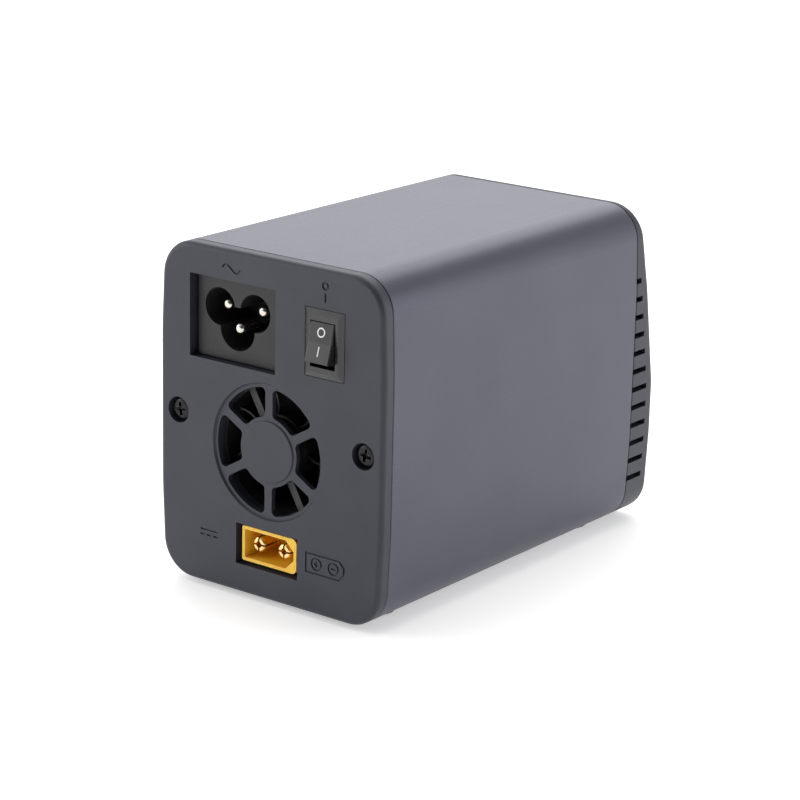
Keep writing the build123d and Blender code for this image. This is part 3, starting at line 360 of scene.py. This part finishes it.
def taped():
    """Yellow winding tape with the edge of each turn showing."""
    f = Finish("winding_tape", (0.85, 0.6, 0.06), 0.3)
    bands = f.add("ShaderNodeTexWave", wave_type="BANDS", bands_direction="Z", wave_profile="SAW")
    bands.inputs["Scale"].default_value = 30
    bands.inputs["Distortion"].default_value = 0.3
    f.link(f.coords, bands.inputs["Vector"])
    f.colour(f.blend(bands.outputs["Fac"], (0.87, 0.63, 0.07), (0.7, 0.47, 0.03)))
    f.roughness(f.remap(f.noise(600, 3), 0.3, 0.7, 0.22, 0.42))
    f.bump((bands.outputs["Fac"], 0.05 * MM, 0.4), (f.noise(900, 3), 0.02 * MM, 0.3))
    return f.material


def enamelled_copper():
    """Enamelled winding wire, with a clear coat over the copper."""
    f = Finish("enamelled_copper", (0.62, 0.22, 0.07), 0.25, metallic=0.85,
               Coat_Weight=0.5, Coat_Roughness=0.1)
    f.colour(f.clouded(900, 3, (0.68, 0.26, 0.09), (0.45, 0.14, 0.04)))
    f.roughness(f.remap(f.noise(1500, 2), 0.3, 0.7, 0.18, 0.36))
    f.bump((f.noise(1200, 2), 0.02 * MM, 0.3))
    return f.material


def wire_sleeve(name, colour):
    """Flexible wire insulation with a waxy, slightly uneven skin."""
    f = Finish(name, colour, 0.42, Subsurface_Weight=0.04, Subsurface_Scale=0.0004)
    f.colour(f.clouded(350, 3, colour, tuple(c * 0.7 for c in colour)))
    f.roughness(f.remap(f.noise(1500, 3), 0.3, 0.7, 0.34, 0.52))
    f.bump((f.noise(800, 3), 0.02 * MM, 0.3))
    return f.material


def mark_paint():
    """White printed marks."""
    f = Finish("mark_paint", (0.8, 0.8, 0.8), 0.5)
    f.colour(f.clouded(4000, 3, (0.84, 0.85, 0.86), (0.7, 0.71, 0.73), 0.35, 0.7))
    f.roughness(f.remap(f.noise(3000, 2), 0.3, 0.7, 0.42, 0.6))
    f.bump((f.noise(3500, 2), 0.01 * MM, 0.2))
    return f.material


FINISHES = {
    "sleeve": anodised_sleeve(),
    "cover": moulded_cover(),
    "lens": display_glass(),
    "display": moulding("display_tray", (0.04, 0.045, 0.05), 0.3),
    "screw_steel": black_oxide(),
    "inlet_plastic": inlet_plastic(),
    "nickel": plated("nickel_plate", (0.66, 0.63, 0.57), 0.2),
    "switch_plastic": gloss_switch(),
    "plug_plastic": plug_nylon(),
    "gold": plated("gold_plate", (0.95, 0.68, 0.28), 0.2),
    "header_plastic": moulding("header_nylon", (0.74, 0.72, 0.66), 0.42),
    "key_plastic": moulding("key_plastic", (0.045, 0.048, 0.056), 0.45),
    "wheel": bare_metal("turned_wheel", (0.55, 0.55, 0.58), 0.3, (0.04, 1.0, 1.0)),
    "black_plastic": moulding("black_plastic", (0.018, 0.018, 0.02), 0.45),
    "shaft_steel": bare_metal("ground_steel", (0.62, 0.62, 0.62), 0.22, (1.0, 0.05, 1.0)),
    "bronze": bare_metal("sintered_bronze", (0.55, 0.36, 0.2), 0.45, (1.0, 1.0, 1.0)),
    "copper": enamelled_copper(),
    "laminate": laminate(),
    "ferrite": ferrite(),
    "winding_tape": taped(),
    "can": moulding("shrink_sleeve", (0.02, 0.022, 0.03), 0.25, 1400),
    "fuse": moulding("fuse_ceramic", (0.72, 0.7, 0.63), 0.4),
    "fin": bare_metal("extruded_fins", (0.72, 0.72, 0.74), 0.34, (1.0, 0.04, 1.0)),
    "sheet": moulding("insulating_film", (0.72, 0.72, 0.68), 0.35),
    "lead_black": wire_sleeve("black_wire", (0.02, 0.02, 0.02)),
    "lead_green": wire_sleeve("earth_wire", (0.12, 0.42, 0.05)),
    "lead_red": wire_sleeve("red_wire", (0.55, 0.02, 0.015)),
    "rubber": rubber(),
}
MARK_PAINT = mark_paint()


def finish_nodes():
    """Gives every node of the frame its slot's finish."""
    for part in frame["record"]["subparts"]:
        mesh = frame["nodes"][part["node"]].data
        mesh.materials.clear()
        mesh.materials.append(FINISHES[part["material_slot"]])


# ---------------------------------------------------------------- building pieces
WELD = 0.0005 * MM          # corners closer than this become one
CELL_WELD = 0.002 * MM      # the same, for the cells of a printed mark


def declare(piece, body, slot_name, *replaced):
    """Gives a piece its finish and its place among the bodies."""
    if not piece.data.materials:
        piece.data.materials.append(FINISHES[slot_name])
    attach(piece, body)
    if replaced:
        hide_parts(*replaced)


def shown(name, mesh):
    """An object at the origin with this mesh."""
    piece = bpy.data.objects.new(name, mesh)
    bpy.context.scene.collection.objects.link(piece)
    return piece


def to_mesh(name, form):
    """A closed bmesh, turned right side out and made a mesh."""
    bmesh.ops.remove_doubles(form, verts=form.verts, dist=WELD)
    bmesh.ops.recalc_face_normals(form, faces=form.faces)
    mesh = bpy.data.meshes.new(name)
    form.to_mesh(mesh)
    form.free()
    return mesh


def with_thread(radius, height, part, thread):
    """The radius at a share of the way round, with the thread's ridge added where the thread runs."""
    ridge, pitch, start, end = thread
    if not start < height < end:
        return radius
    phase = (height / pitch + part) % 1.0
    return radius + ridge * (1 - abs(2 * phase - 1))


def lathe(form, profile, segments, thread=None):
    """A closed solid of revolution about Z, from (radius, height) points that start and end on the axis.

    thread is (ridge, pitch, from_height, to_height): a helical ridge that is added to the radius there.
    """
    rings = []
    for radius, height in profile:
        if radius == 0:
            rings.append([form.verts.new((0, 0, height))])
            continue
        ring = []
        for n in range(segments):
            part = n / segments
            reach = with_thread(radius, height, part, thread) if thread else radius
            angle = part * math.tau
            ring.append(form.verts.new((reach * math.cos(angle), reach * math.sin(angle), height)))
        rings.append(ring)
    for lower, upper in zip(rings, rings[1:]):
        for n in range(segments):
            after = n + 1
            corners = (lower[n % len(lower)], lower[after % len(lower)],
                       upper[after % len(upper)], upper[n % len(upper)])
            form.faces.new(dict.fromkeys(corners))


def smooth(mesh, angle=35):
    """Smooth shading, with edges sharper than this kept hard."""
    mesh.shade_smooth()
    mesh.set_sharp_from_angle(angle=math.radians(angle))


def cut(piece, cutters):
    """Takes the cutters' shapes out of a piece and leaves a plain mesh."""
    for cutter in cutters:
        modifier = piece.modifiers.new("cut", "BOOLEAN")
        modifier.operation = "DIFFERENCE"
        modifier.solver = "EXACT"
        modifier.object = cutter
    graph = bpy.context.evaluated_depsgraph_get()
    piece.data = bpy.data.meshes.new_from_object(piece.evaluated_get(graph), depsgraph=graph)
    piece.modifiers.clear()
    for cutter in cutters:
        bpy.data.objects.remove(cutter)


# ---------------------------------------------------------------- geometry nodes
class Growth:
    """A Geometry Nodes tree under construction, ending in Realize Instances and Set Material."""

    def __init__(self, name, **inputs):
        self.tree = bpy.data.node_groups.new(name, "GeometryNodeTree")
        for label, kind in (("Geometry", "Geometry"), *inputs.items(), ("Material", "Material")):
            self.tree.interface.new_socket(label, in_out="INPUT", socket_type="NodeSocket" + kind)
        self.tree.interface.new_socket("Geometry", in_out="OUTPUT", socket_type="NodeSocketGeometry")
        self.given = self.add("NodeGroupInput").outputs

    def add(self, kind, values=(), **settings):
        """A node with its settings, and its inputs from {socket: number or output}."""
        node = self.tree.nodes.new(kind)
        for key, value in settings.items():
            setattr(node, key, value)
        for socket, value in dict(values).items():
            if isinstance(value, bpy.types.NodeSocket):
                self.tree.links.new(value, node.inputs[socket])
            else:
                node.inputs[socket].default_value = value
        return node

    def close(self, *geometry):
        """Joins the geometry, realises it and gives it the material."""
        join = self.add("GeometryNodeJoinGeometry")
        for output in geometry:
            self.tree.links.new(output, join.inputs["Geometry"])
        whole = self.add("GeometryNodeRealizeInstances", {"Geometry": join.outputs["Geometry"]})
        painted = self.add("GeometryNodeSetMaterial", {
            "Geometry": whole.outputs["Geometry"], "Material": self.given["Material"]})
        self.add("NodeGroupOutput", {"Geometry": painted.outputs["Geometry"]})

    def run(self, name, start, **values):
        """Runs the tree on a mesh and returns an object with the plain result."""
        piece = shown(name, start)
        modifier = piece.modifiers.new("growth", "NODES")
        modifier.node_group = self.tree
        for item in self.tree.interface.items_tree:
            if item.in_out == "INPUT" and item.name in values:
                modifier[item.identifier] = values[item.name]
        graph = bpy.context.evaluated_depsgraph_get()
        piece.data = bpy.data.meshes.new_from_object(piece.evaluated_get(graph), depsgraph=graph)
        piece.modifiers.clear()
        return piece


def copies_on_points():
    """A piece on every point, each turned about Z by a random amount."""
    growth = Growth("copies_on_points", Piece="Object", Size="Float", Seed="Int")
    info = growth.add("GeometryNodeObjectInfo", {"Object": growth.given["Piece"]})
    turn = growth.add("FunctionNodeRandomValue", {1: (0.0, 0.0, math.tau), "Seed": growth.given["Seed"]},
                      data_type="FLOAT_VECTOR")
    size = growth.add("ShaderNodeCombineXYZ", {axis: growth.given["Size"] for axis in "XYZ"})
    placed = growth.add("GeometryNodeInstanceOnPoints", {
        "Points": growth.given["Geometry"], "Instance": info.outputs["Geometry"],
        "Rotation": turn.outputs["Value"], "Scale": size.outputs["Vector"]})
    growth.close(placed.outputs["Instances"])
    return growth


def copies_round():
    """Copies of a piece turned evenly about Z, joined to what comes in."""
    growth = Growth("copies_round", Piece="Object", Count="Int")
    info = growth.add("GeometryNodeObjectInfo", {"Object": growth.given["Piece"]})
    count = growth.given["Count"]
    points = growth.add("GeometryNodeMeshLine", {"Count": count, "Offset": (0.0, 0.0, 0.0)})
    index = growth.add("GeometryNodeInputIndex").outputs["Index"]
    part = growth.add("ShaderNodeMath", {0: index, 1: count}, operation="DIVIDE")
    angle = growth.add("ShaderNodeMath", {0: part.outputs["Value"], 1: math.tau}, operation="MULTIPLY")
    turn = growth.add("ShaderNodeCombineXYZ", {"Z": angle.outputs["Value"]})
    placed = growth.add("GeometryNodeInstanceOnPoints", {
        "Points": points.outputs["Mesh"], "Instance": info.outputs["Geometry"],
        "Rotation": turn.outputs["Vector"]})
    growth.close(growth.given["Geometry"], placed.outputs["Instances"])
    return growth


ON_POINTS = copies_on_points()
ROUND = copies_round()


# ---------------------------------------------------------------- screws
# The domed head's outline, as shares of its radius and of its height.
HEAD_OUTLINE = (
    (0, 1.0), (0.35, 1.0), (0.62, 0.96), (0.82, 0.86),
    (0.94, 0.7), (1.0, 0.45), (1.0, 0.04), (0.97, 0),
)
SCREW_SIDES = 32
STEPS_PER_PITCH = 8
THREAD_PITCH = 0.8       # of the shank's radius, as are the next two
CORE_RADIUS = 0.8
THREAD_HEIGHT = 0.18
THREAD_START, THREAD_END = 0.04, 0.97       # of the shank's length
# A bar of the cross recess: its length and width over the head's radius, its height over the head's.
RECESS_TOP = (1.3, 0.34, 1.15)
RECESS_FLOOR = (0.55, 0.2, 0.2)
HEAD_SHARP = 40          # degrees; steeper edges of a screw stay hard


def recess_bar(head_radius, head_height, turn):
    """One tapered bar of the cross recess, wider and longer at the top than at the floor."""
    form = bmesh.new()
    bmesh.ops.create_cube(form, size=1.0)
    for corner in form.verts:
        length, width, height = RECESS_TOP if corner.co.z > 0 else RECESS_FLOOR
        corner.co.x *= head_radius * length
        corner.co.y *= head_radius * width
        corner.co.z = head_height * height
    bmesh.ops.rotate(form, verts=form.verts, matrix=Matrix.Rotation(math.radians(turn), 3, "Z"))
    return shown("recess", to_mesh("recess", form))


def pan_screw(head_radius, head_height, shank_radius, length):
    """A threaded screw along Z with a domed head and a cross recess; its seat is at the origin."""
    pitch = shank_radius * THREAD_PITCH
    core = shank_radius * CORE_RADIUS
    steps = round(length / pitch * STEPS_PER_PITCH)
    profile = [(head_radius * r, head_height * h) for r, h in HEAD_OUTLINE]
    profile += [(core, -length * n / steps) for n in range(steps)]
    profile += [(core * 0.5, -length), (0, -length)]
    thread = (shank_radius * THREAD_HEIGHT, pitch, -length * THREAD_END, -length * THREAD_START)
    form = bmesh.new()
    lathe(form, profile, SCREW_SIDES, thread)
    screw = shown("screw", to_mesh("screw", form))
    cut(screw, [recess_bar(head_radius, head_height, turn) for turn in (0, 90)])
    smooth(screw.data, HEAD_SHARP)
    return screw


# Head radius, head height and shank radius of each kind of screw.
COVER_SCREW = (2.7 * MM, 1.2 * MM, 1.2 * MM)
FAN_SCREW = (2.0 * MM, 1.1 * MM, 0.9 * MM)
KEY_BOARD_SCREW = (1.5 * MM, 0.9 * MM, 0.75 * MM)


def screw_set(node, kind, seed, to_back=True, diagonal=False):
    """The two screws of a node, standing where the node's own screws stand."""
    head_radius, head_height, shank_radius = kind
    low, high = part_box(node)
    screw = pan_screw(head_radius, head_height, shank_radius, span(node).y - head_height)
    seat = high.y - head_height if to_back else low.y + head_height
    place = Matrix.Translation((0, seat, 0)) @ (TO_BACK if to_back else TO_FRONT)
    centre = (low.z + high.z) / 2
    rise = (high.z - low.z) / 2 - head_radius if diagonal else 0.0
    spots = [
        (low.x + head_radius, seat, centre - rise),
        (high.x - head_radius, seat, centre + rise),
    ]
    mesh = bpy.data.meshes.new(node)
    mesh.from_pydata([place.inverted() @ Vector(spot) for spot in spots], [], [])
    screws = ON_POINTS.run(node + "_cross", mesh, Piece=screw, Size=1.0, Seed=seed,
                           Material=FINISHES["screw_steel"])
    screws.data.transform(place)
    bpy.data.objects.remove(screw)
    declare(screws, "housing", "screw_steel", node)


# ---------------------------------------------------------------- fan
HUB_RADIUS = 7.3 * MM
HUB_WALL = 1.0 * MM
HUB_FLOOR = 1.2 * MM
HUB_SIDES = 64
HUB_ROUNDING, HUB_NOSE = 0.8 * MM, 0.25 * MM    # the rounded edge of the closed end
HUB_CHAMFER = 0.2 * MM
BLADE_COUNT = 7
BLADE_THICKNESS = 0.5 * MM
BLADE_ROOT = 0.3 * MM                           # how far a blade reaches into the hub
BLADE_SHORT_OF_TIP = 0.1 * MM
BLADE_PITCH, BLADE_TWIST = 52, 14               # degrees at the hub, and added towards the tip
BLADE_CHORD, BLADE_FLARE = 1.02, 0.1            # of the wheel's depth, and added towards the tip
BLADE_CAMBER = 0.12                             # of the depth
BLADE_SWEEP = 0.22                              # radians, at the tip
BLADE_REACH = 0.48                              # of the depth, either way from the middle
BLADE_ROWS, BLADE_COLUMNS = 10, 8


def blade_point(out, along, tip_radius, depth):
    """A point of the blade's face, from its shares outwards and along the chord."""
    length = tip_radius - HUB_RADIUS + BLADE_ROOT - BLADE_SHORT_OF_TIP
    radius = HUB_RADIUS - BLADE_ROOT + length * out
    pitch = math.radians(BLADE_PITCH + BLADE_TWIST * out)
    chord = (along - 0.5) * depth * (BLADE_CHORD + BLADE_FLARE * out)
    camber = BLADE_CAMBER * depth * (1 - (2 * along - 1) ** 2)
    aside = chord * math.cos(pitch) + camber * math.sin(pitch)
    rise = (chord * math.sin(pitch) - camber * math.cos(pitch)) / depth
    high = max(-BLADE_REACH, min(BLADE_REACH, rise)) * depth
    angle = aside / radius + BLADE_SWEEP * out ** 2
    return radius * math.cos(angle), radius * math.sin(angle), high


def fan_blade(tip_radius, depth):
    """One curved, twisted blade along X, its width along Z."""
    form = bmesh.new()
    rows = []
    for i in range(BLADE_ROWS + 1):
        rows.append([
            form.verts.new(blade_point(i / BLADE_ROWS, j / BLADE_COLUMNS, tip_radius, depth))
            for j in range(BLADE_COLUMNS + 1)])
    for first, second in zip(rows, rows[1:]):
        for j in range(BLADE_COLUMNS):
            form.faces.new((first[j], first[j + 1], second[j + 1], second[j]))
    bmesh.ops.recalc_face_normals(form, faces=form.faces)
    bmesh.ops.solidify(form, geom=form.faces[:], thickness=BLADE_THICKNESS)
    return shown("blade", to_mesh("blade", form))


def fan_hub(depth):
    """The wheel's cup, closed at its low end, from the outside round its rim to the inside."""
    low, high, inner = -depth / 2, depth / 2, HUB_RADIUS - HUB_WALL
    form = bmesh.new()
    lathe(form, [
        (0, low),
        (HUB_RADIUS - HUB_ROUNDING, low),
        (HUB_RADIUS - HUB_NOSE, low + HUB_NOSE),
        (HUB_RADIUS, low + HUB_ROUNDING),
        (HUB_RADIUS, high - HUB_CHAMFER),
        (HUB_RADIUS - HUB_CHAMFER, high),
        (inner + HUB_CHAMFER, high),
        (inner, high - HUB_CHAMFER),
        (inner, low + HUB_FLOOR),
        (0, low + HUB_FLOOR),
    ], HUB_SIDES)
    return to_mesh("hub", form)


def fan_wheel():
    """A cup-shaped hub with a ring of curved blades."""
    size = span("fan_rotor")
    blade = fan_blade(size.x / 2, size.y)
    wheel = ROUND.run("fan_wheel_blades", fan_hub(size.y), Piece=blade, Count=BLADE_COUNT,
                      Material=FINISHES["black_plastic"])
    bpy.data.objects.remove(blade)
    wheel.data.transform(Matrix.Translation(middle("fan_rotor")) @ TO_BACK)
    smooth(wheel.data)
    declare(wheel, "fan_wheel", "black_plastic", "fan_rotor")


# ---------------------------------------------------------------- line choke
CHOKE_HOLE = 3.4 * MM                           # radius inside the turns
WIRE_RADIUS = 0.32 * MM
TURNS_TO_CORE = 2 * WIRE_RADIUS + 0.02 * MM     # from the turns' outside to the ferrite
CORE_SIDES = 48
TURN_COUNT = 30
TURN_STEPS, WIRE_SIDES = 28, 6


def close_rings(form, rings):
    """Faces between each ring of corners and the next, and from the last ring to the first."""
    for first, second in zip(rings, rings[1:] + rings[:1]):
        for n in range(len(first)):
            after = (n + 1) % len(first)
            form.faces.new((first[n], first[after], second[after], second[n]))


def squared(value):
    """Pushes a sine or cosine outwards, which turns a circle into a rounded square."""
    return math.copysign(abs(value) ** 0.5, value)


def wire_turn(near, far, rise):
    """One closed turn of wire round a ring's section, in the plane of X and Z."""
    form = bmesh.new()
    middle_x, half = (near + far) / 2, (far - near) / 2
    rings = []
    for k in range(TURN_STEPS):
        angle = k * math.tau / TURN_STEPS
        outward = Vector((math.cos(angle), 0, math.sin(angle)))
        along_x = (half - WIRE_RADIUS) * squared(outward.x)
        along_z = (rise - WIRE_RADIUS) * squared(outward.z)
        spot = Vector((middle_x + along_x, 0, along_z))
        ring = []
        for m in range(WIRE_SIDES):
            around = m * math.tau / WIRE_SIDES
            offset = outward * math.cos(around) + Vector((0, 1, 0)) * math.sin(around)
            ring.append(form.verts.new(spot + offset * WIRE_RADIUS))
        rings.append(ring)
    close_rings(form, rings)
    return shown("turn", to_mesh("turn", form))


def choke_core(near, far, rise):
    """The ferrite ring that the turns are wound on."""
    form = bmesh.new()
    rings = []
    angles = [n * math.tau / CORE_SIDES for n in range(CORE_SIDES)]
    for radius, height in ((far, -rise), (far, rise), (near, rise), (near, -rise)):
        rings.append([
            form.verts.new((radius * math.cos(angle), radius * math.sin(angle), height))
            for angle in angles])
    close_rings(form, rings)
    return shown("choke_core", to_mesh("choke_core", form))


def line_choke():
    """A ferrite ring inside a comb of copper turns, in the space of the plain ring."""
    size = span("line_choke")
    outer, rise = size.x / 2, size.z / 2
    ring = choke_core(CHOKE_HOLE + TURNS_TO_CORE, outer - TURNS_TO_CORE, rise - TURNS_TO_CORE)
    turn = wire_turn(CHOKE_HOLE, outer, rise)
    empty = bpy.data.meshes.new("start")
    turns = ROUND.run("choke_turns", empty, Piece=turn, Count=TURN_COUNT, Material=FINISHES["copper"])
    bpy.data.objects.remove(turn)
    for piece in (ring, turns):
        piece.data.transform(Matrix.Translation(middle("line_choke")))
        smooth(piece.data)
    ring.data.materials.append(FINISHES["ferrite"])
    declare(ring, "housing", "ferrite")
    declare(turns, "housing", "copper", "line_choke")


# ---------------------------------------------------------------- printed marks
PAINT_THICKNESS = 0.03 * MM
PAINT_LIFT = 0.02 * MM          # from the node's surface to the sheet that gets the thickness
STROKE = 0.35 * MM              # width of the plus and minus strokes
SIGN_WIDTH = 1.6 * MM
ARM_RISE, ARM_LENGTH = 0.5 * MM, 0.6 * MM   # of the plus, over and under its middle stroke
SIGN_GAP = 2.0 * MM             # from the output's side to the middle of the sign
FLAT_HALF_WIDTH = 28.5 * MM     # of the front cover; a sign is left out past it
KEY_BAR = (3.0 * MM, 0.45 * MM)         # width and height
OFF_RING = (1.05 * MM, 0.76 * MM)       # outer and inner radius
OFF_RING_RISE = 2.9 * MM                # over the rocker's pivot
ON_BAR = (0.28 * MM, 2.1 * MM)          # width and height
ON_BAR_DROP = 1.1 * MM                  # under the rocker's pivot


def ring_cells(x, z, outer, inner, steps=40):
    """Four-cornered cells of a ring in X and Z."""
    cells = []
    for n in range(steps):
        corners = []
        for radius, k in ((outer, n), (outer, n + 1), (inner, n + 1), (inner, n)):
            angle = k * math.tau / steps
            corners.append((x + radius * math.cos(angle), z + radius * math.sin(angle)))
        cells.append(corners)
    return cells


def bar_cells(x, z, width, height, steps=6):
    """Four-cornered cells of an upright rectangle in X and Z."""
    cells = []
    for i in range(steps):
        for j in range(steps):
            cells.append([
                (x + width * ((i + di) / steps - 0.5), z + height * ((j + dj) / steps - 0.5))
                for di, dj in ((0, 0), (1, 0), (1, 1), (0, 1))
            ])
    return cells


def print_mark(name, cells, node, body, slot_name, toward=1.0):
    """A thin coat of paint on a node: cells laid along Y onto its surface, from its back or its front."""
    mesh = frame["nodes"][node].data
    points = [vertex.co for vertex in mesh.vertices]
    surface = BVHTree.FromPolygons(points, [list(face.vertices) for face in mesh.polygons])
    form = bmesh.new()
    for cell in cells:
        corners = []
        for x, z in cell:
            hit = surface.ray_cast(Vector((x, toward, z)), Vector((0, -toward, 0)))[0]
            corners.append(form.verts.new((x, hit.y + toward * PAINT_LIFT, z)))
        form.faces.new(corners)
    bmesh.ops.remove_doubles(form, verts=form.verts, dist=CELL_WELD)
    bmesh.ops.recalc_face_normals(form, faces=form.faces)
    bmesh.ops.solidify(form, geom=form.faces[:], thickness=PAINT_THICKNESS)
    mark = shown(name, to_mesh(name, form))
    mark.data.materials.append(MARK_PAINT)
    declare(mark, body, slot_name)


def switch_marks():
    """A ring for off on the upper half of the rocker and a bar for on on its lower half."""
    centre = middle("switch_rocker")
    pivot = ROCKER_PIVOT.z
    ring = ring_cells(centre.x, pivot + OFF_RING_RISE, *OFF_RING)
    bar = bar_cells(centre.x, pivot - ON_BAR_DROP, *ON_BAR)
    for name, cells in (("rocker_off_ring", ring), ("rocker_on_bar", bar)):
        print_mark(name, cells, "switch_rocker", "rocker", "switch_plastic")


def front_marks():
    """Plus and minus by each output, and a bar on each channel key."""
    for side in ("left", "right"):
        contacts = middle(side + "_output_contacts")
        reach = span(side + "_output_housing").x / 2 + SIGN_GAP
        for name, x in (("minus", contacts.x - reach), ("plus", contacts.x + reach)):
            if abs(x) >= FLAT_HALF_WIDTH:
                continue
            cells = bar_cells(x, contacts.z, SIGN_WIDTH, STROKE)
            if name == "plus":
                for rise in (ARM_RISE, -ARM_RISE):
                    cells += bar_cells(x, contacts.z + rise, STROKE, ARM_LENGTH)
            print_mark(f"{side}_{name}_mark", cells, "front_cover", "housing", "cover", -1.0)
        key = middle(side + "_key")
        bar = bar_cells(key.x, key.z, *KEY_BAR)
        print_mark(side + "_key_mark", bar, side + "_key", side + "_key", "key_plastic", -1.0)


# ---------------------------------------------------------------- camera, light and floor
CAMERA_AT = Vector((-355.1 * MM, BACK_FACE + 423.9 * MM, 211.85 * MM))
CAMERA_LOOK = Vector((0.5771, -0.7655, -0.2845))
CAMERA_ROLL = math.radians(1.32)
LENS_LENGTH = 120.05
SENSOR_WIDTH = 36.0
NEAR_CLIP, FAR_CLIP = 0.02, 20.0


def camera():
    data = bpy.data.cameras.new("camera")
    data.lens = LENS_LENGTH
    data.sensor_width = SENSOR_WIDTH
    data.clip_start, data.clip_end = NEAR_CLIP, FAR_CLIP
    seen_from = bpy.data.objects.new("camera", data)
    seen_from.location = CAMERA_AT
    seen_from.rotation_mode = "QUATERNION"
    level = CAMERA_LOOK.to_track_quat("-Z", "Y")
    seen_from.rotation_quaternion = level @ Quaternion((0, 0, 1), CAMERA_ROLL)
    bpy.context.scene.collection.objects.link(seen_from)
    bpy.context.scene.camera = seen_from


def softbox(name, at, aim, size, power, tint=(1.0, 1.0, 1.0)):
    """A rectangular area light that looks at a point."""
    data = bpy.data.lights.new(name, "AREA")
    data.shape = "RECTANGLE"
    data.size, data.size_y = size
    data.energy = power
    data.color = tint
    lamp = bpy.data.objects.new(name, data)
    lamp.location = at
    lamp.rotation_mode = "QUATERNION"
    lamp.rotation_quaternion = (Vector(aim) - Vector(at)).to_track_quat("-Z", "Y")
    bpy.context.scene.collection.objects.link(lamp)


WHITE = (1.0, 1.0, 1.0, 1.0)
DARK_SIDE = -CAMERA_LOOK.normalized()
DARK_FROM, DARK_FULL = 0.45, 0.9        # cosine of the angle from the dark side's middle
ROOM_LIGHT, ROOM_SHADE = 0.7, 0.03
FLOOR_HALF_WIDTH = 6.0
FLOOR_GLOW = 0.4


def surroundings():
    """A soft grey room that is dark on one side; a camera that sees past the floor sees white."""
    world = bpy.data.worlds.new("surroundings")
    world.use_nodes = True
    tree = world.node_tree
    coords = tree.nodes.new("ShaderNodeTexCoord")
    facing = tree.nodes.new("ShaderNodeVectorMath")
    facing.operation = "DOT_PRODUCT"
    facing.inputs[1].default_value = DARK_SIDE
    room = tree.nodes.new("ShaderNodeMapRange")
    room.interpolation_type = "SMOOTHSTEP"
    limits = {"From Min": DARK_FROM, "From Max": DARK_FULL, "To Min": ROOM_LIGHT, "To Max": ROOM_SHADE}
    for name, number in limits.items():
        room.inputs[name].default_value = number
    path = tree.nodes.new("ShaderNodeLightPath")
    seen = tree.nodes.new("ShaderNodeMath")
    seen.operation = "MAXIMUM"
    tree.links.new(coords.outputs["Generated"], facing.inputs[0])
    tree.links.new(facing.outputs["Value"], room.inputs["Value"])
    tree.links.new(room.outputs["Result"], seen.inputs[0])
    tree.links.new(path.outputs["Is Camera Ray"], seen.inputs[1])
    background = tree.nodes["Background"]
    background.inputs["Color"].default_value = WHITE
    tree.links.new(seen.outputs["Value"], background.inputs["Strength"])
    bpy.context.scene.world = world


def light_table():
    """A wide floor of white opal sheet, faintly lit from beneath."""
    form = bmesh.new()
    bmesh.ops.create_grid(form, x_segments=1, y_segments=1, size=FLOOR_HALF_WIDTH)
    mesh = bpy.data.meshes.new("floor")
    form.to_mesh(mesh)
    form.free()
    floor = shown("floor", mesh)
    opal = Finish("floor_opal", (0.93, 0.93, 0.93), 0.85,
                  Emission_Color=WHITE, Emission_Strength=FLOOR_GLOW)
    opal.roughness(opal.remap(opal.noise(40, 3), 0.3, 0.7, 0.8, 0.9))
    mesh.materials.append(opal.material)


def studio():
    """A pale room, a light table and four large softboxes; places in metres, power in watts."""
    bpy.context.scene.view_settings.view_transform = "Standard"
    surroundings()
    light_table()
    heart = (0, 0, 0.04)
    softbox("overhead", (0.45, -0.55, 1.5), heart, size=(1.8, 1.8), power=20.0)
    softbox("far_light", (0.85, -1.15, 0.62), heart, size=(1.5, 0.7), power=4.8, tint=(0.94, 0.95, 1.0))
    softbox("right_light", (-1.2, -0.7, 0.4), heart, size=(0.7, 0.8), power=6.0)
    softbox("left_light", (1.1, 0.8, 0.45), heart, size=(0.7, 0.8), power=7.0)


camera()
studio()
finish_nodes()
screw_set("back_cover_screws", COVER_SCREW, seed=3)
screw_set("front_cover_screws", COVER_SCREW, seed=5, to_back=False)
screw_set("fan_screws", FAN_SCREW, seed=7, to_back=False, diagonal=True)
screw_set("key_board_screws", KEY_BOARD_SCREW, seed=9)
fan_wheel()
line_choke()
switch_marks()
front_marks()
